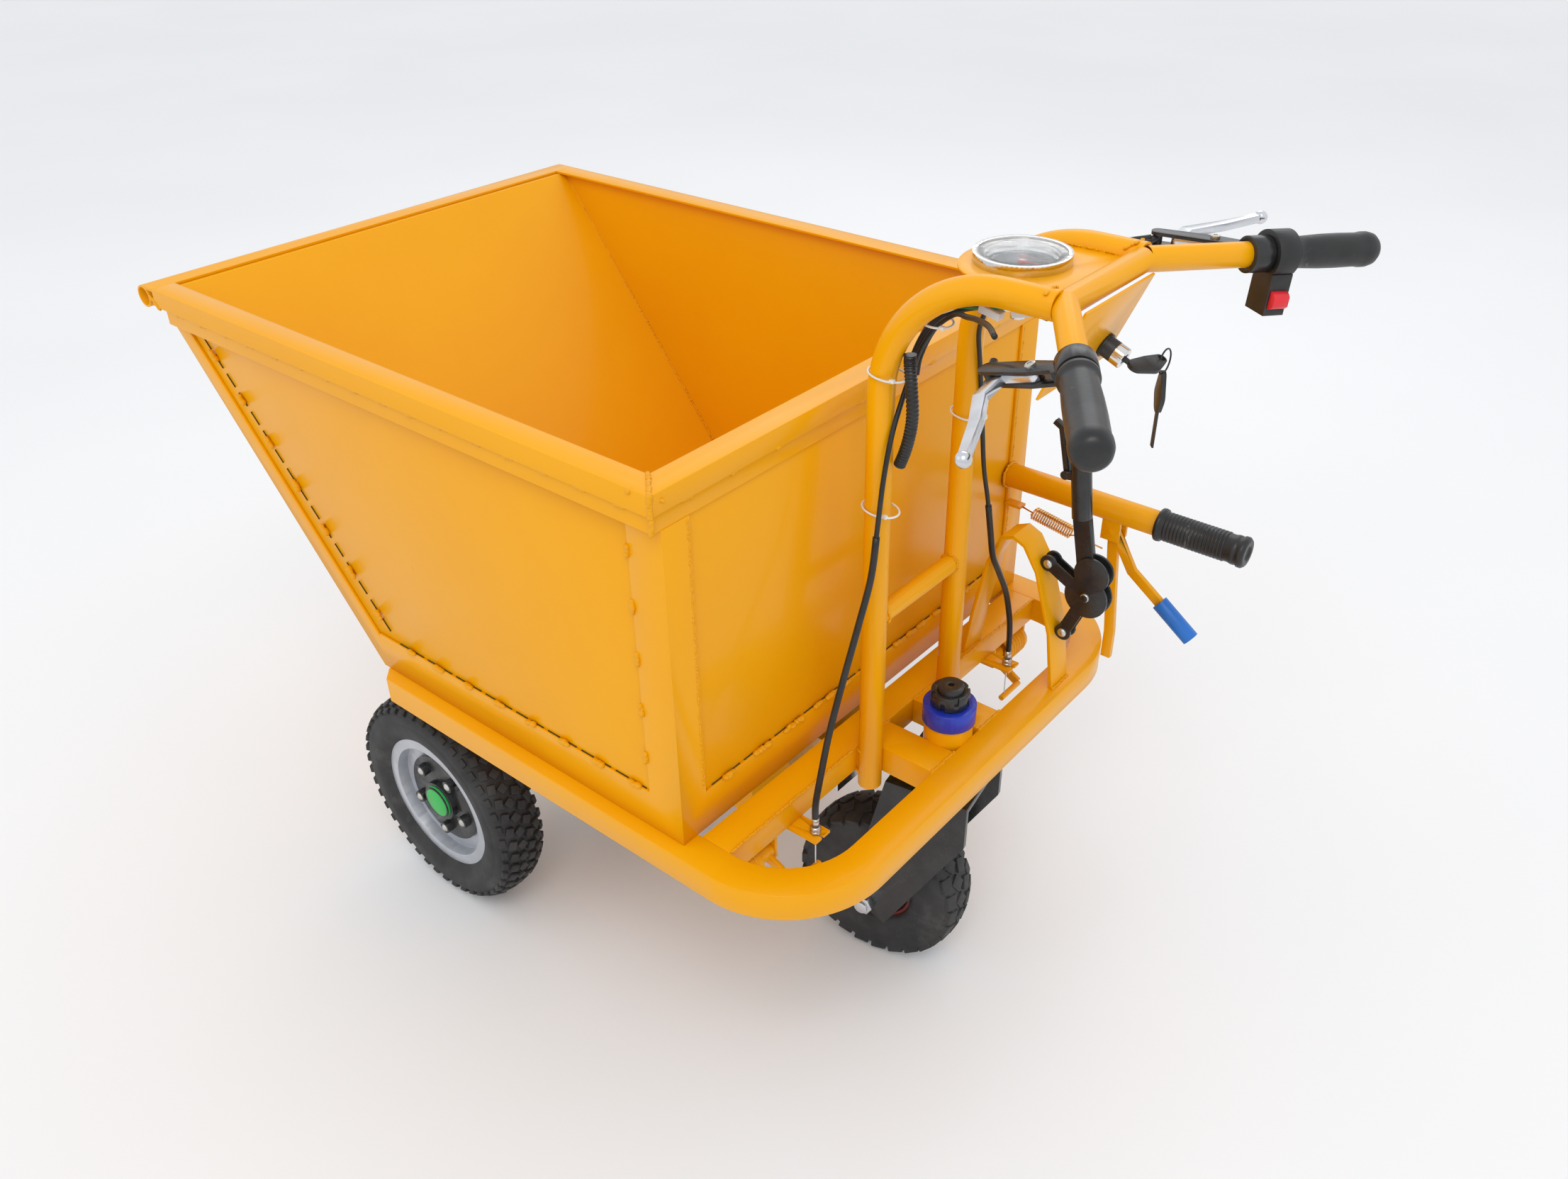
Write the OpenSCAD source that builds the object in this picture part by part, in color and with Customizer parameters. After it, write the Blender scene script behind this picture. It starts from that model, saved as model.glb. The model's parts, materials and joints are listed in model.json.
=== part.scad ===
// Three-wheeled power wheelbarrow with a tipping hopper.
// +X points to the dump lip, +Y to the left side, +Z up. The wheels stand on z = 0.
// Places along X are first counted from the rear rim of the hopper, and the last step of each
// sub-part moves it so that the origin is the bottom centre of the whole machine.

/* [Hopper] */
// Length from the rear rim to the front of the lip pipe
hopper_len = 1026; // [900:1:1250]
// Outer width across the rim
hopper_w = 800; // [700:1:960]
// Height of the rim above the ground
rim_h = 925; // [850:1:1000]
// Length of the flat hopper floor
floor_len = 598; // [500:1:720]
// Thickness of the hopper sheet
sheet = 3; // [2:0.5:4]
// Width of the top face of the rim angle
rim_face = 36; // [30:1:45]
// Height of the outer face of the rim angle
rim_drop = 26; // [20:1:35]
// Overhang of the side rim outside the hopper sheet
rim_over = 20; // [16:1:26]
// Leg width of the vertical corner angles
corner_leg = 50; // [35:1:60]
// Height of the base band
base_band = 56; // [40:1:70]
// Outer diameter of the lip pipe
lip_d = 32; // [28:1:38]

/* [Chassis] */
// Height of the frame's top face above the ground
frame_top = 433; // [420:1:470]
// Outer width of the frame
frame_w = 808; // [700:1:960]
// Width of the rail section
rail_w = 46; // [40:1:55]
// Height of the rail section
rail_h = 40; // [36:1:46]
// Wall thickness of the rail section
rail_t = 3; // [2:0.5:4]
// Outer radius of the rear corners
corner_r = 150; // [110:1:170]
// Distance from the rear rim back to the outside of the rear rail
rear_reach = 202; // [195:1:240]
// Distance from the rear rim forward to the front end of the frame
front_reach = 592; // [500:1:715]

/* [Handle] */
// Diameter of the handle loop tube
loop_d = 32; // [28:1:36]
// Distance between the two column centres
column_gap = 184; // [176:2:220]
// Bend radius of the handle loop
loop_r = 150; // [120:1:160]
// Height of the centre of the loop's top run
loop_top = 1096; // [1020:1:1120]
// Diameter of the handlebar tube
bar_d = 28; // [25:1:30]
// Length of each handlebar end beyond the loop
bar_end = 288; // [270:1:320]
// Backward sweep of the handlebar ends
bar_sweep = 34; // [20:1:40]
// Length of a hand grip
grip_len = 150; // [140:1:165]
// Outer diameter of a hand grip
grip_d = 40; // [36:1:44]

/* [Wheels] */
// Outer diameter of the front tyres
tyre_d = 356; // [340:1:400]
// Width of the front tyres
tyre_w = 84; // [70:1:95]
// Front wheel centre ahead of the rear rim
axle_x = 563; // [450:1:600]
// Outer diameter of the rear tyre
caster_d = 260; // [220:1:268]
// Width of the rear tyre
caster_w = 80; // [60:1:88]
// Trail of the rear wheel from the swivel axis
caster_trail = 84; // [60:1:95]
// Swivel angle of the rear wheel as drawn
caster_turn = 9.7; // [-180:0.1:180]
// Diameter of the swivel spindle
spindle_d = 35; // [30:1:38]

/* [Fits] */
// Radial clearance of a running fit
run = 0.05; // [0.02:0.01:0.1]
// Gap between parts that pass each other
pass = 0.5; // [0.3:0.1:1]

/* [Hidden] */
$fn = 48;
e = 0.01;
yellow = "#f2a900";
black = "#1b1b1d";
silver = "#c8ccd2";

// Hopper
half_w = hopper_w / 2;
side_y = half_w - rim_over;          // outside of the side sheets
angle_t = 4;                         // angle iron
rear_x = 7;                          // outside of the rear sheet
angle_x = rear_x - angle_t;          // outside of the rear angles
floor_z = frame_top + pass;          // underside of the hopper
front_x = angle_x + floor_len;       // front edge of the floor
lip_x = hopper_len - lip_d / 2;      // centre of the lip pipe
lip_z = rim_h - lip_d / 2;
slope_x = lip_x - 28;                // top of the front sheet
rake = atan2(rim_h - angle_t - floor_z, slope_x - front_x);
strip_h = 22;                        // lower strip under the rim angle

// Frame
frame_y = frame_w / 2;
rail_in_x = -rear_reach + rail_w;    // inside of the rear rail
cross_x = -48;                       // rear face of the rear cross member
cross_d = 45;
stub_in = 31;                        // inside of the spindle stubs
stub_out = 82;
spindle_x = (rail_in_x - 99) / 2 + 1.5;
rail_bot = frame_top - rail_h;
housing_d = 66;
housing_bot = 382;
housing_top = 457;
cap_h = 27;
nut_h = 11;
crown_top = 370;

// Handle
col_y = column_gap / 2;
col_x = cross_x - loop_d / 2;
foot_z = 373;
loop_bar_x = col_x - loop_r - 60;    // centre line of the handlebar's middle
bar_z = loop_top;
bar_droop = 3.8;
grip_start = bar_end - grip_len;     // along the bar end, from the bend
tube_t = 3;
rung_z = 640;
plate_z = loop_top - 2;              // underside of the gauge plate
gauge_x = col_x - 112;
gauge_d = 106;
key_x = loop_bar_x + 12;
key_y = -40;
key_z = 1012;

// Machine length and the shift that centres it
grip_reach = loop_bar_x - (bar_end + 3) * cos(bar_droop) * sin(bar_sweep) - grip_d / 2 * cos(bar_sweep);
x_shift = -(hopper_len + grip_reach) / 2;

// Front wheels
wheel_r = tyre_d / 2;
wheel_y = frame_y - 22 - tyre_w / 2;
rim_r = 114;
drum_r = 78;
bolt_circle = 110;

// Hopper hinge
hinge_x = front_reach + 16;
hinge_z = frame_top - 20;
hinge_pin_d = 16;

// Brake relay
relay_x = -28;
relay_z = 360;
tab_x = -81;
tab_y = 232;

// Parking brake
arch_y = -192;
arch_w = 44;
arch_top = 652;

// Tip handle and latch
tip_y = -342;
tip_z = 642;
tip_d = 36;
tip_len = 240;
latch_x = -172;
latch_z = tip_z - 30;

// Put a sub-part in the machine's own frame
module place() translate([x_shift, 0, 0]) children();
// A round bar from a to b
module bar(a, b, d) {
  v = b - a;
  l = norm(v);
  translate(a) rotate([0, acos(v[2] / l), atan2(v[1], v[0])]) cylinder(h = l, d = d);
}
module box(a, b) translate(a) cube(b - a);
module both() {
  children();
  mirror([0, 1, 0]) children();
}
// A disc or ring across the machine, from y to y + l
module disc_y(x, y, z, d, l, bore = 0) {
  translate([x, y + l, z]) rotate([90, 0, 0]) difference() {
    cylinder(h = l, d = d);
    if (bore > 0) translate([0, 0, -1]) cylinder(h = l + 2, d = bore);
  }
}
// The frame of the right grip: +X along the bar end, +Z up
module at_bend() translate([loop_bar_x, -(col_y - 8), bar_z]) rotate([0, 0, bar_sweep - 90 - 2 * bar_sweep])
  rotate([0, bar_droop, 0]) children();
module at_collar() at_bend() translate([grip_start, 0, 0]) children();
// The same place, but level, for what turns about a vertical bolt
collar_r = grip_start * cos(bar_droop);
module at_lever() translate([loop_bar_x, -(col_y - 8), bar_z - grip_start * sin(bar_droop)])
  rotate([0, 0, -90 - bar_sweep]) translate([collar_r, 0, 0]) children();

// ---- chassis ----
// Plan of the rail loop at an offset d inside its outer edge, with an open front
module rail_plan(d) {
  r = corner_r - d;
  y = frame_y - d;
  x = -rear_reach + d;
  cx = -rear_reach + corner_r;
  cy = frame_y - corner_r;
  square_from(cx, -y, front_reach, y);
  square_from(x, -cy, cx + e, cy);
  for (s = [-1, 1]) translate([cx, s * cy]) circle(r = r, $fn = 96);
}
module square_from(x0, y0, x1, y1) translate([x0, y0]) square([x1 - x0, y1 - y0]);
module frame_rail() color(yellow) place() difference() {
  translate([0, 0, rail_bot]) linear_extrude(rail_h) difference() {
    rail_plan(0);
    translate([0.001, 0]) rail_plan(rail_w);
    square_from(front_reach - e, -frame_y + rail_w, front_reach + 1, frame_y - rail_w);
    for (s = [-1, 1]) translate([front_reach, s * frame_y]) rotate(45) square(26, center = true);
  }
  translate([0, 0, rail_bot + rail_t]) linear_extrude(rail_h - 2 * rail_t) difference() {
    rail_plan(rail_t);
    rail_plan(rail_w - rail_t);
    square_from(front_reach - 4, -frame_y, front_reach + 1, frame_y);
  }
}
module cross_tube(x0, x1, y) difference() {
  box([x0, -y, rail_bot], [x1, y, frame_top]);
  box([x0 + rail_t, -y - 1, rail_bot + rail_t], [x1 - rail_t, y + 1, frame_top - rail_t]);
}
module cross_members() color(yellow) place() {
  y = frame_y - rail_w;
  cross_tube(cross_x, cross_x + cross_d, y);
  for (x = [100, 326, front_reach - 46]) cross_tube(x, x + 40, y);
  axle_hangers();
}
module spindle_stubs() color(yellow) place() both() difference() {
  box([rail_in_x, stub_in, rail_bot], [cross_x, stub_out, frame_top]);
  box([rail_in_x - 1, stub_in + rail_t, rail_bot + rail_t], [cross_x + 1, stub_out - rail_t, frame_top - rail_t]);
  translate([spindle_x, 0, rail_bot - 1]) cylinder(h = rail_h + 2, d = housing_d);
  translate([col_x, col_y, rail_bot - 1]) cylinder(h = rail_h + 2, d = loop_d + 2 * run);
}
module spindle_housing() color(yellow) place() translate([spindle_x, 0, 0]) difference() {
  intersection() {
    translate([0, 0, housing_bot]) cylinder(h = housing_top - housing_bot, d = housing_d);
    translate([rail_in_x - spindle_x, -60, 0]) cube([200, 120, 600]);
  }
  translate([0, 0, housing_bot - 1]) cylinder(h = housing_top - housing_bot + 2, d = spindle_d + 2 * run);
}
module bearing_cap() color("#1f4fd0") place() translate([spindle_x, 0, housing_top]) difference() {
  cylinder(h = cap_h, d = 72);
  translate([0, 0, -1]) cylinder(h = cap_h + 2, d = spindle_d + 3);
}

// ---- handle ----
// One side of the handle loop: column, bend and top run
module loop_side(d, extra) {
  translate([col_x, col_y, foot_z - extra]) cylinder(h = loop_top - loop_r - foot_z + extra, d = d);
  translate([col_x - loop_r, col_y, loop_top - loop_r]) rotate([90, 0, 0])
    rotate_extrude(angle = 90) translate([loop_r, 0]) circle(d = d);
  translate([loop_bar_x + 2 - extra, col_y, loop_top]) rotate([0, 90, 0])
    cylinder(h = col_x - loop_r - loop_bar_x - 2 + extra, d = d);
}
module bar_solid(d) {
  translate([loop_bar_x, -(col_y - 8), bar_z]) rotate([-90, 0, 0]) cylinder(h = 2 * (col_y - 8), d = d);
  both() at_bend() {
    sphere(d = d + 0.6);
    rotate([0, 90, 0]) cylinder(h = bar_end, d = d);
  }
}
module handle_columns() color(yellow) place() both() difference() {
  union() {
    loop_side(loop_d, 0);
    box([col_x, col_y - 8, rail_bot], [cross_x, col_y + 8, frame_top]);
    translate([col_x, 0, rung_z]) rotate([-90, 0, 0]) cylinder(h = col_y, d = 25);
  }
  loop_side(loop_d - 2 * tube_t, 1);
}
module handlebar() color(yellow) place() difference() {
  bar_solid(bar_d);
  both() at_bend() translate([12, 0, 0]) rotate([0, 90, 0]) cylinder(h = bar_end, d = bar_d - 2 * tube_t);
}
module gauge_plate() color(yellow) place() translate([0, 0, plate_z]) linear_extrude(3) difference() {
  union() {
    square_from(loop_bar_x + bar_d / 2 + 4, -(col_y - loop_d / 2), gauge_x, col_y - loop_d / 2);
    translate([gauge_x, 0]) scale([0.85, 1]) circle(r = col_y - loop_d / 2, $fn = 64);
  }
  translate([gauge_x, 0]) circle(d = gauge_d - 18);
}
// The frame of the key switch: +Z out of the panel, rearward and down
module at_key() translate([key_x, key_y, key_z]) rotate([0, -113, 0]) children();
module switch_panel() color(yellow) place() difference() {
  at_key() translate([-32, -34, -3]) cube([114, 148, 3]);
  translate([loop_bar_x, -200, bar_z]) rotate([-90, 0, 0]) cylinder(h = 400, d = bar_d);
  at_key() translate([0, 0, -4]) cylinder(h = 5, d = 20);
}
module cable_tabs() color(yellow) place() both() difference() {
  box([tab_x - 12, tab_y - 15, rail_bot - 4], [cross_x + cross_d - 8, tab_y + 15, rail_bot]);
  translate([tab_x, tab_y, rail_bot - 5]) cylinder(h = 6, d = 9);
  box([tab_x - 13, tab_y - 2, rail_bot - 5], [tab_x, tab_y + 2, rail_bot + 1]);
}
// Bent flat bar that carries the parking brake, from the rear rail up and over to the cross member
arch_foot_x = -rear_reach + 17;
arch_pts = [[arch_foot_x, frame_top], [arch_foot_x + 12, 520], [arch_foot_x + 40, 610],
  [arch_foot_x + 62, arch_top - 8], [arch_foot_x + 80, arch_top], [arch_foot_x + 98, arch_top - 8],
  [arch_foot_x + 116, 600], [arch_foot_x + 134, 510], [cross_x + 8, frame_top]];
module brake_arch() color(yellow) place() translate([0, arch_y + arch_w / 2, 0]) rotate([90, 0, 0])
  linear_extrude(arch_w) difference() {
    ribbon(concat([arch_pts[0] - [1, 8]], arch_pts, [arch_pts[len(arch_pts) - 1] + [1, -8]]), 5);
    translate([-400, frame_top - 50]) square([600, 50]);
  }
// A flat ribbon of width w along a line of points, with mitred corners
function turn90(v) = [-v[1], v[0]] / norm(v);
function mitre(p, i) = let (
    a = turn90(p[max(i, 1)] - p[max(i, 1) - 1]),
    b = turn90(p[min(i, len(p) - 2) + 1] - p[min(i, len(p) - 2)]),
    m = (a + b) / norm(a + b)) m / (m * a);
module ribbon(p, w) polygon(concat([for (i = [0 : len(p) - 1]) p[i] + mitre(p, i) * w / 2],
  [for (i = [len(p) - 1 : -1 : 0]) p[i] - mitre(p, i) * w / 2]));

// ---- drive, under the hopper ----
hanger_y = wheel_y - tyre_w / 2 - 40;
axle_tube = 50;
module axle_hangers() both() difference() {
  box([axle_x - 38, hanger_y - 25, wheel_r - 30], [axle_x - 10 + 24, hanger_y - 19, rail_bot]);
  translate([axle_x, hanger_y - 30, wheel_r]) rotate([-90, 0, 0]) cylinder(h = 20, d = axle_tube);
}
module drive_axle() color(black) place() difference() {
  union() {
    translate([axle_x, -(hanger_y + 20), wheel_r]) rotate([-90, 0, 0]) cylinder(h = 2 * hanger_y + 40, d = axle_tube);
    translate([axle_x, -60, wheel_r]) rotate([-90, 0, 0]) cylinder(h = 120, d = 150);
    both() translate([axle_x, hanger_y + 14, wheel_r]) rotate([-90, 0, 0]) cylinder(h = 6, d = 150);
    both() translate([axle_x, hanger_y + 20, wheel_r]) rotate([-90, 0, 0]) cylinder(h = 62, d = 30);
  }
}
module drive_motor() color("#303236") place() translate([axle_x - 75, 70, wheel_r]) rotate([0, -90, 0])
  translate([0, -70, 0]) {
    translate([0, 0, 2]) cylinder(h = 150, d = 120);
    cylinder(h = 2, d = 80);
  }
module battery_tray() color(yellow) place() difference() {
  box([100, -150, 256], [366, 150, rail_bot]);
  box([103, -147, 260], [363, 147, rail_bot + 1]);
  for (x = [120, 245]) box([x, -151, 280], [x + 100, 151, rail_bot - 16]);
}
module batteries() color("#26282c") place() for (x = [112, 238]) box([x, -138, 260], [x + 116, 138, 380]);
module controller() color(silver) place() box([-3 + 10, -70, 300], [95, 70, rail_bot - 12]);

// ---- gauge, key and switches ----
module gauge_case() color(silver) place() translate([gauge_x, 0, plate_z]) {
  difference() {
    union() {
      translate([0, 0, -38]) cylinder(h = 41, d = gauge_d - 18);
      translate([0, 0, 3]) cylinder(h = 11, d = gauge_d, $fn = 96);
      translate([0, 0, -60]) cylinder(h = 24, d = 16);
    }
    translate([0, 0, 0]) cylinder(h = 20, d = gauge_d - 26);
    translate([0, 0, 12]) cylinder(h = 3, d = gauge_d - 10, $fn = 96);
  }
  cylinder(h = 4.5, d = 4);
}
module gauge_glass() color("#dfe8ee") place() translate([gauge_x, 0, plate_z]) {
  translate([0, 0, 12]) cylinder(h = 2, d = gauge_d - 10, $fn = 96);
}
module gauge_needle() color("#d8281e") place() translate([gauge_x, 0, plate_z]) {
  translate([0, 0, 1]) difference() {
    cylinder(h = 3, d = 9);
    translate([0, 0, -1]) cylinder(h = 5, d = 4 + 2 * run);
  }
  translate([-34, -1, 2]) cube([30.2, 2, 1.2]);
}
module key_switch() color(black) place() at_key() difference() {
  union() {
    cylinder(h = 27, d = 24);
    cylinder(h = 4, d = 28);
    translate([0, 0, -16]) cylinder(h = 16.5, d = 19);
  }
  translate([0, 0, 12]) cylinder(h = 20, d = 12);
}
key_hole = [-43, 52];                // hole in the first key, across and out from the lock
module ignition_key() color(black) place() at_key() difference() {
  union() {
    translate([0, 0, 12.5]) cylinder(h = 15, d = 12 - 2 * run);
    translate([-1.2, -4, 27]) cube([2.4, 8, 10]);
    translate([-2.5, 0, 46]) rotate([0, 90, 0]) linear_extrude(5) hull() {
      translate([4, -2]) circle(d = 18, $fn = 32);
      translate([-4, -22]) circle(d = 24, $fn = 32);
      translate([-6, key_hole[0] + 1]) circle(d = 14, $fn = 32);
    }
  }
  translate([-5, key_hole[0], key_hole[1]]) rotate([0, 90, 0]) cylinder(h = 10, d = 9);
}
// The spare hangs on a ring through the hole of the first key
ring_r = 14;
hole_at = [key_x - sin(113) * key_hole[1], key_y + key_hole[0], key_z + cos(113) * key_hole[1]];
module spare_key() color(black) place() translate(hole_at - [0, ring_r * cos(25), ring_r * sin(25)]) {
  rotate([0, 90, 0]) rotate_extrude($fn = 48) translate([ring_r, 0]) circle(d = 2, $fn = 16);
  translate([0, 0, -ring_r]) rotate([0, 0, 40]) {
    translate([2.5, 0, -26]) rotate([0, -90, 0]) linear_extrude(5) hull() {
      translate([22, 0]) circle(d = 14, $fn = 32);
      circle(d = 28, $fn = 32);
      translate([-12, 0]) circle(d = 18, $fn = 32);
    }
    translate([-1, -4, -90]) cube([2, 8, 50]);
  }
}
// Both brake levers are drawn in one frame: +X outboard along the grip, +Y away from the bar
pivot_p = [-28, 38];
elbow_p = [-66, 76];
ball_p = [80, 112];
lever_droop = 28;
module at_lever_left() mirror([0, 1, 0]) at_lever() rotate([-lever_droop, 0, 0]) children();
// The clamp ring follows the drooping bar, the plates of the lever stay level
module perch(tilt = 0) difference() {
  union() {
    rotate([tilt, 0, 0]) rotate([0, bar_droop, 0]) translate([-12, 0, 0]) rotate([0, 90, 0]) cylinder(h = 24, d = 40);
    for (z = [-9, 5]) translate([0, 0, z]) linear_extrude(4) hull() {
      translate([-4, 12]) circle(d = 14, $fn = 32);
      translate(pivot_p) circle(d = 20, $fn = 32);
      translate([-72, 82]) circle(d = 16, $fn = 32);
    }
    translate([-13, 12, -9]) cube([18, 10, 18]);
    translate([-72, 82, -9]) cylinder(h = 18, d = 10);
    translate([-72, 82, 0]) rotate([0, -90, 14]) cylinder(h = 26, d = 9);
    translate([pivot_p[0], pivot_p[1], -11]) cylinder(h = 22, d = 6);
  }
  rotate([tilt, 0, 0]) rotate([0, bar_droop, 0]) translate([-20, 0, 0]) rotate([0, 90, 0]) cylinder(h = 44, d = bar_d);
}
module lever_blade() difference() {
  union() {
    translate([0, 0, -4.5]) linear_extrude(9) {
      hull() {
        translate(pivot_p) circle(d = 16, $fn = 32);
        translate(elbow_p + [10, -8]) circle(d = 13, $fn = 32);
      }
      hull() {
        translate(elbow_p + [10, -8]) circle(d = 13, $fn = 32);
        translate([-30, 92]) circle(d = 13, $fn = 32);
      }
      hull() {
        translate([-30, 92]) circle(d = 13, $fn = 32);
        translate([20, 98]) circle(d = 12, $fn = 32);
      }
      hull() {
        translate([20, 98]) circle(d = 12, $fn = 32);
        translate(ball_p) circle(d = 9, $fn = 32);
      }
    }
    translate(concat(ball_p, [0])) sphere(d = 16);
  }
  translate([pivot_p[0], pivot_p[1], -10]) cylinder(h = 20, d = 6 + 2 * run);
}
module brake_perches() color(black) place() {
  at_lever() perch();
  at_lever_left() perch(lever_droop);
}
module brake_lever_left() color(silver) place() at_lever_left() lever_blade();
module brake_lever_right() color(silver) place() at_lever() lever_blade();
hold_w = 26;                         // length taken by the throttle's fixed body
module grip(bore) rotate([0, 90, 0]) difference() {
  union() {
    cylinder(h = grip_len - 13, d = grip_d);
    cylinder(h = 5, d = grip_d + 5);
  }
  translate([0, 0, -1]) cylinder(h = grip_len - 15, d = bore);
}
module grip_left() color(black) place() mirror([0, 1, 0]) at_collar() translate([16, 0, 0]) grip(bar_d);
module throttle_housing() color(black) place() at_collar() difference() {
  union() {
    translate([13, 0, 0]) rotate([0, 90, 0]) cylinder(h = hold_w, d = grip_d + 12);
    translate([13, -20, -64]) cube([hold_w, 34, 46]);
  }
  rotate([0, 90, 0]) cylinder(h = 60, d = bar_d);
  translate([16, -20, -46]) rotate([0, 90, 0]) cylinder(h = hold_w - 6, d = 20);
}
module rocker_switch() color("#c8201c") place() at_collar() translate([16 + 0.3, -20, -46]) rotate([0, 90, 0])
  difference() {
    cylinder(h = hold_w - 6.6, d = 20 - 2 * run);
    translate([-20, -12.5, -1]) cube([40, 4, 40]);
  }
module throttle_grip() color(black) place() at_collar() translate([13 + hold_w + pass, 0, 0]) rotate([0, 90, 0])
  difference() {
    union() {
      cylinder(h = grip_len - 13 - hold_w + 3, d = grip_d);
      cylinder(h = 5, d = grip_d + 5);
    }
    translate([0, 0, -1]) cylinder(h = grip_len - 13 - hold_w + 1, d = bar_d + 2 * run);
  }

// ---- cables ----
// A tube swept along a list of points
function unit(v) = v / norm(v);
function tangent(p, i) = unit(p[min(i + 1, len(p) - 1)] - p[max(i - 1, 0)]);
function side(t) = unit(cross(t, abs(t[0]) > 0.9 ? [0, 1, 0] : [1, 0, 0]));
module sweep(p, d, n = 8) {
  ring = [for (i = [0 : len(p) - 1]) let (t = tangent(p, i), u = side(t), w = cross(t, u))
    for (k = [0 : n - 1]) p[i] + d / 2 * (cos(360 * k / n) * u + sin(360 * k / n) * w)];
  m = len(p) - 1;
  polyhedron(points = ring, faces = concat(
    [[for (k = [0 : n - 1]) k]],
    [[for (k = [n - 1 : -1 : 0]) m * n + k]],
    [for (i = [0 : m - 1], k = [0 : n - 1]) let (j = (k + 1) % n)
      [i * n + j, i * n + k, (i + 1) * n + k, (i + 1) * n + j]]));
}
cable_left_pts = [[-244, 162, 1080], [-222, 138, 1078], [-190, 108, 1068], [-165, 86, 1058], [-140, 68, 1050],
  [-115, 62, 1030], [-98, 62, 1005], [-88, 66, 975], [-84, 80, 938], [-84, 98, 900], [-84, 111, 850],
  [-84, 120, 790], [-84, 130, 728], [-83, 152, 670], [-82, 176, 612], [-81, 204, 540], [-81, 222, 480],
  [-81, 232, 440], [-81, 232, 400]];
cable_right_pts = [[-244, -162, 1094], [-222, -138, 1090], [-190, -108, 1072], [-165, -86, 1058],
  [-140, -70, 1050], [-115, -68, 1030], [-98, -68, 1005], [-88, -70, 975], [-84, -84, 930], [-84, -96, 870],
  [-84, -112, 780], [-84, -130, 720], [-84, -144, 665], [-84, -156, 622], [-83, -178, 585], [-81, -208, 535],
  [-81, -226, 480],
  [-81, -232, 440], [-81, -232, 400]];
module cable(pts, s) {
  sweep(pts, 7);
  difference() {
    translate([tab_x, s * tab_y, rail_bot - 6]) cylinder(h = 26, d = 8.6);
    translate([tab_x, s * tab_y, rail_bot - 8]) cylinder(h = 20, d = 2);
  }
  translate([tab_x, s * tab_y, rail_bot]) cylinder(h = 5, d = 14, $fn = 6);
}
module brake_cable_left() color(black) place() cable(cable_left_pts, 1);
module brake_cable_right() color(black) place() cable(cable_right_pts, -1);
conduit_pts = [[-98, 88, 1000], [-99, 88, 985], [-102, 88, 960], [-104, 87, 930], [-101, 86, 905], [-94, 84, 880],
  [-86, 82, 860]];
module loose_conduit() color(black) place() sweep(conduit_pts, 15, 12);

// ---- hopper ----
hinge_ys = [frame_y - 150, frame_y - 90];  // inner and outer ends of a hinge bracket
module hinge_brackets() color(yellow) place() both() {
  for (y = [hinge_ys[0], hinge_ys[1] - 12]) {
    box([front_reach, y, hinge_z - 12], [hinge_x, y + 12, hinge_z + 12]);
    disc_y(hinge_x, y, hinge_z, 24, 12);
  }
  disc_y(hinge_x, hinge_ys[0] - 4, hinge_z, hinge_pin_d, hinge_ys[1] - hinge_ys[0] + 8);
}
lug_y = hinge_ys[0] + 12 + pass;
lug_w = hinge_ys[1] - hinge_ys[0] - 24 - 2 * pass;
module hinge_lugs() color(yellow) place() both() difference() {
  union() {
    disc_y(hinge_x, lug_y, hinge_z, 24, lug_w);
    box([hinge_x - 12, lug_y, hinge_z], [hinge_x + 12, lug_y + lug_w, floor_z + 40]);
  }
  disc_y(hinge_x, lug_y - 1, hinge_z, hinge_pin_d + 2 * run, lug_w + 2);
  hopper_solid(0);
  box([0, lug_y - 1, floor_z], [front_x, lug_y + lug_w + 1, floor_z + base_band]);
}
// Side view of the hopper, drawn in by t
module hopper_side(t) polygon([[rear_x + t, floor_z + angle_t + t], [front_x - t * tan(rake / 2), floor_z + angle_t + t],
  [slope_x - t / sin(rake), rim_h + (t > 0 ? 1 : -angle_t)], [rear_x + t, rim_h + (t > 0 ? 1 : -angle_t)]]);
module hopper_solid(t) translate([0, side_y - t, 0]) rotate([90, 0, 0]) linear_extrude(2 * (side_y - t)) hopper_side(t);
module hopper_shell() color(yellow) place() difference() {
  hopper_solid(0);
  hopper_solid(sheet);
}
// Rim angle with its lower strip, along both sides and the rear
module hopper_rim() color(yellow) place() {
  difference() {
    box([0, -half_w, rim_h - rim_drop], [slope_x, half_w, rim_h]);
    box([rim_face, -half_w + rim_face, 0], [2000, half_w - rim_face, rim_h + 1]);
    box([angle_t, -half_w + angle_t, 0], [2000, half_w - angle_t, rim_h - angle_t]);
  }
  difference() {
    box([angle_t, -half_w + angle_t, rim_h - rim_drop - strip_h], [slope_x - 20, half_w - angle_t, rim_h - angle_t]);
    box([rear_x, -side_y, 0], [2000, side_y, rim_h + 1]);
    box([angle_t + 3, -half_w + angle_t + 3, rim_h - rim_drop - strip_h + 4], [2000, half_w - angle_t - 3, rim_h]);
  }
}
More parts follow.
